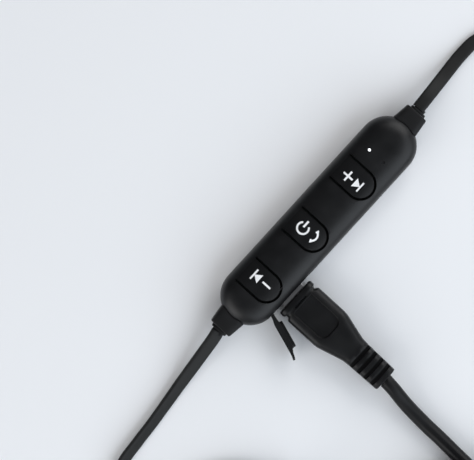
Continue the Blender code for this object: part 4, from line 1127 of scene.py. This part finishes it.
# Profiles of (radius, height) in millimetres. The cap's face has a groove, and its side another.
CAP_PROFILE = (
    (0.0, 0.0), (4.2, 0.0), (4.25, 0.06), (4.45, 0.06), (4.5, 0.0), (5.0, 0.0), (5.3, 0.07),
    (5.58, 0.27), (5.74, 0.52), (5.8, 0.85), (5.8, 1.6), (5.74, 1.66), (5.74, 1.8), (5.8, 1.86),
    (5.8, 2.3), (5.7, 2.4), (5.2, 2.4), (5.2, 0.7), (0.0, 0.7),
)
STALK_PROFILE = (
    (0.0, 0.0), (2.3, 0.0), (2.3, 4.7), (2.42, 4.85), (2.6, 5.45), (2.55, 5.75), (2.3, 6.3),
    (2.2, 6.4), (0.0, 6.4),
)
BORE_PROFILE = ((0.0, -2.3), (1.6, -2.3), (1.6, 12), (0.0, 12))
GRILLE_PROFILE = ((0.0, 5.9), (1.44, 5.9), (1.46, 6.1), (1.3, 6.15), (0.0, 6.17))
NOZZLE_MESH_MIDDLE = 6.025 * MM


def bud_frame(side):
    """The bud's axis stands on the table, and its cord leaves along +X."""
    centre, relief = middle("back_cap_" + side), middle("cord_relief_" + side)
    angle = math.atan2(relief.y - centre.y, relief.x - centre.x)
    return Matrix.Translation((centre.x, centre.y, 0.0)) @ Matrix.Rotation(angle, 4, "Z")


def nozzle_frame(side):
    axis = Vector(joint(f"ear_tip_{side}_pull")["axis"]).normalized()
    base = middle("nozzle_mesh_" + side) - NOZZLE_MESH_MIDDLE * axis
    return Matrix.Translation(base) @ axis.to_track_quat("Z", "X").to_matrix().to_4x4()


def build_bud(side):
    at, nozzle = bud_frame(side), nozzle_frame(side)
    radius = (corners("back_cap_" + side)[1].x - corners("back_cap_" + side)[0].x) / 2
    cap = turned("bud_cap_" + side, millimetres(CAP_PROFILE), at, 64)
    finish_piece(cap, "pod", "dark_metal", ["back_cap_" + side])

    low, side_top, crown = 2.7 * MM, 6.8 * MM, 10.4 * MM

    def dome(grow, bottom):
        top = crown - side_top + grow
        points = [(0.0, bottom), (radius + grow, bottom)]
        points += [((radius + grow) * math.cos(a), side_top + top * math.sin(a))
                   for a in (math.radians(9 * k) for k in range(10))]
        return [*points, (0.0, side_top + top)]

    housing = turned("bud_housing_" + side, dome(0.0, low), at, 64)
    stalk = turned("stalk", millimetres(STALK_PROFILE), nozzle, 40)
    bore = turned("bore", millimetres(BORE_PROFILE), nozzle, 32)
    combine(housing, "UNION", stalk)
    combine(housing, "DIFFERENCE", turned("inside", dome(-0.8 * MM, low - 0.8 * MM), at, 48), bore)
    finish_piece(tidy_mesh(housing), "pod", "shell", ["housing_" + side], angle=35)
    build_grille(side, nozzle)

    profile = relief_profile(
        5.5 * MM, 2.3 * MM, 1.6 * MM, steps=36, groove=0.22 * MM, first=0.1, last=0.93, rings=4.6,
        stub=(1.0 * MM, 0.9 * MM),
    )
    stand = at @ Matrix.Translation((radius + 0.05 * MM, 0.0, middle("cord_relief_" + side).z))
    relief = turned("bud_relief_" + side, profile, stand @ Matrix.Rotation(math.pi / 2, 4, "Y"), 36)
    finish_piece(relief, "pod", "rubber", ["cord_relief_" + side])

    tip = turned("soft_tip_" + side, tip_profile(), nozzle, 64, loop=True)
    finish_piece(tip, "ear_tip_" + side, "silicone", ["ear_tip_" + side], angle=50)


def build_grille(side, nozzle):
    """A disc with a hexagonal pattern of holes."""
    disc = turned("bud_grille_" + side, millimetres(GRILLE_PROFILE), nozzle, 36)
    pitch = 0.5 * MM
    centres = [
        (pitch * (a + b / 2), pitch * b * math.sqrt(3) / 2)
        for a in range(-2, 3) for b in range(-2, 3) if abs(a + b) <= 2
    ]

    def punch(bm):
        for x, y in centres:
            bmesh.ops.create_cone(
                bm, cap_ends=True, segments=6, radius1=0.17 * MM, radius2=0.17 * MM, depth=MM,
                matrix=Matrix.Translation((x, y, 6.0 * MM)),
            )

    combine(disc, "DIFFERENCE", mesh_object("holes", punch, nozzle))
    finish_piece(disc, "pod", "steel", ["nozzle_mesh_" + side], angle=25)


def tip_profile():
    """A soft tip: a skirt that folds back over the sleeve that grips the nozzle."""
    bore, sleeve, skin = 1.6 * MM, 2.75 * MM, 0.45 * MM
    radius, skirt, top = 5.7 * MM, 2.6 * MM, 8.1 * MM
    inner_top = top - 2 * skin
    outer = [
        (sleeve - 0.25 * MM + (radius - sleeve + 0.25 * MM) * math.sin(a) ** 0.92,
         skirt + (top - skirt) * math.cos(a))
        for a in (math.radians(6 * k) for k in range(16))
    ]
    hem = [(radius, skirt + 0.12 * MM), (radius - 0.06 * MM, skirt - 0.02 * MM),
           (radius - 0.3 * MM, skirt - 0.06 * MM)]
    under = [
        (sleeve + skin + (radius - 2 * skin - sleeve) * math.sin(a),
         skirt + 0.1 * MM + (inner_top - skirt - skin) * math.cos(a))
        for a in (math.radians(88 - 9 * k) for k in range(10))
    ]
    low = skirt + 2 * skin
    return [
        (bore, top - 0.2 * MM), (bore + 0.25 * MM, top), *outer, *hem, *under, (sleeve + skin, low),
        (sleeve, low), (sleeve, inner_top), (bore, inner_top),
    ]


# ------------------------ what stays from the frame


def dress_frame_nodes():
    """Better finishes for the inner pieces, whose CAD shapes are right."""
    finishes = {
        "board": ["circuit_board"],
        "chip": ["radio_chip", "usb_socket_tongue", "micro_plug_contacts"],
        "ceramic": ["antenna", "status_led"],
        "steel": ["crystal", "microphone", "usb_socket", "magnet_left", "magnet_right", "driver_left",
                  "driver_right"],
        "dark_metal": ["switch_previous", "switch_power", "switch_next"],
        "foil": ["battery"],
        "rubber": ["microphone_gasket", "battery_lead_black"],
        "red_wire": ["battery_lead_red"],
    }
    for material, nodes in finishes.items():
        for node in nodes:
            for slot in frame["nodes"][node].material_slots:
                slot.material = MATERIALS[material]


# ------------------------ start

MATERIALS = build_materials()
build_camera()
build_stage()
build_short_cord()
build_long_cord()
build_lead_cord(build_far_plug())
build_ties()
build_shells()
build_keys()
build_light()
build_collars()
build_flap()
build_micro_plug()
build_micro_relief()
build_micro_shell()
build_bud("left")
build_bud("right")
dress_frame_nodes()
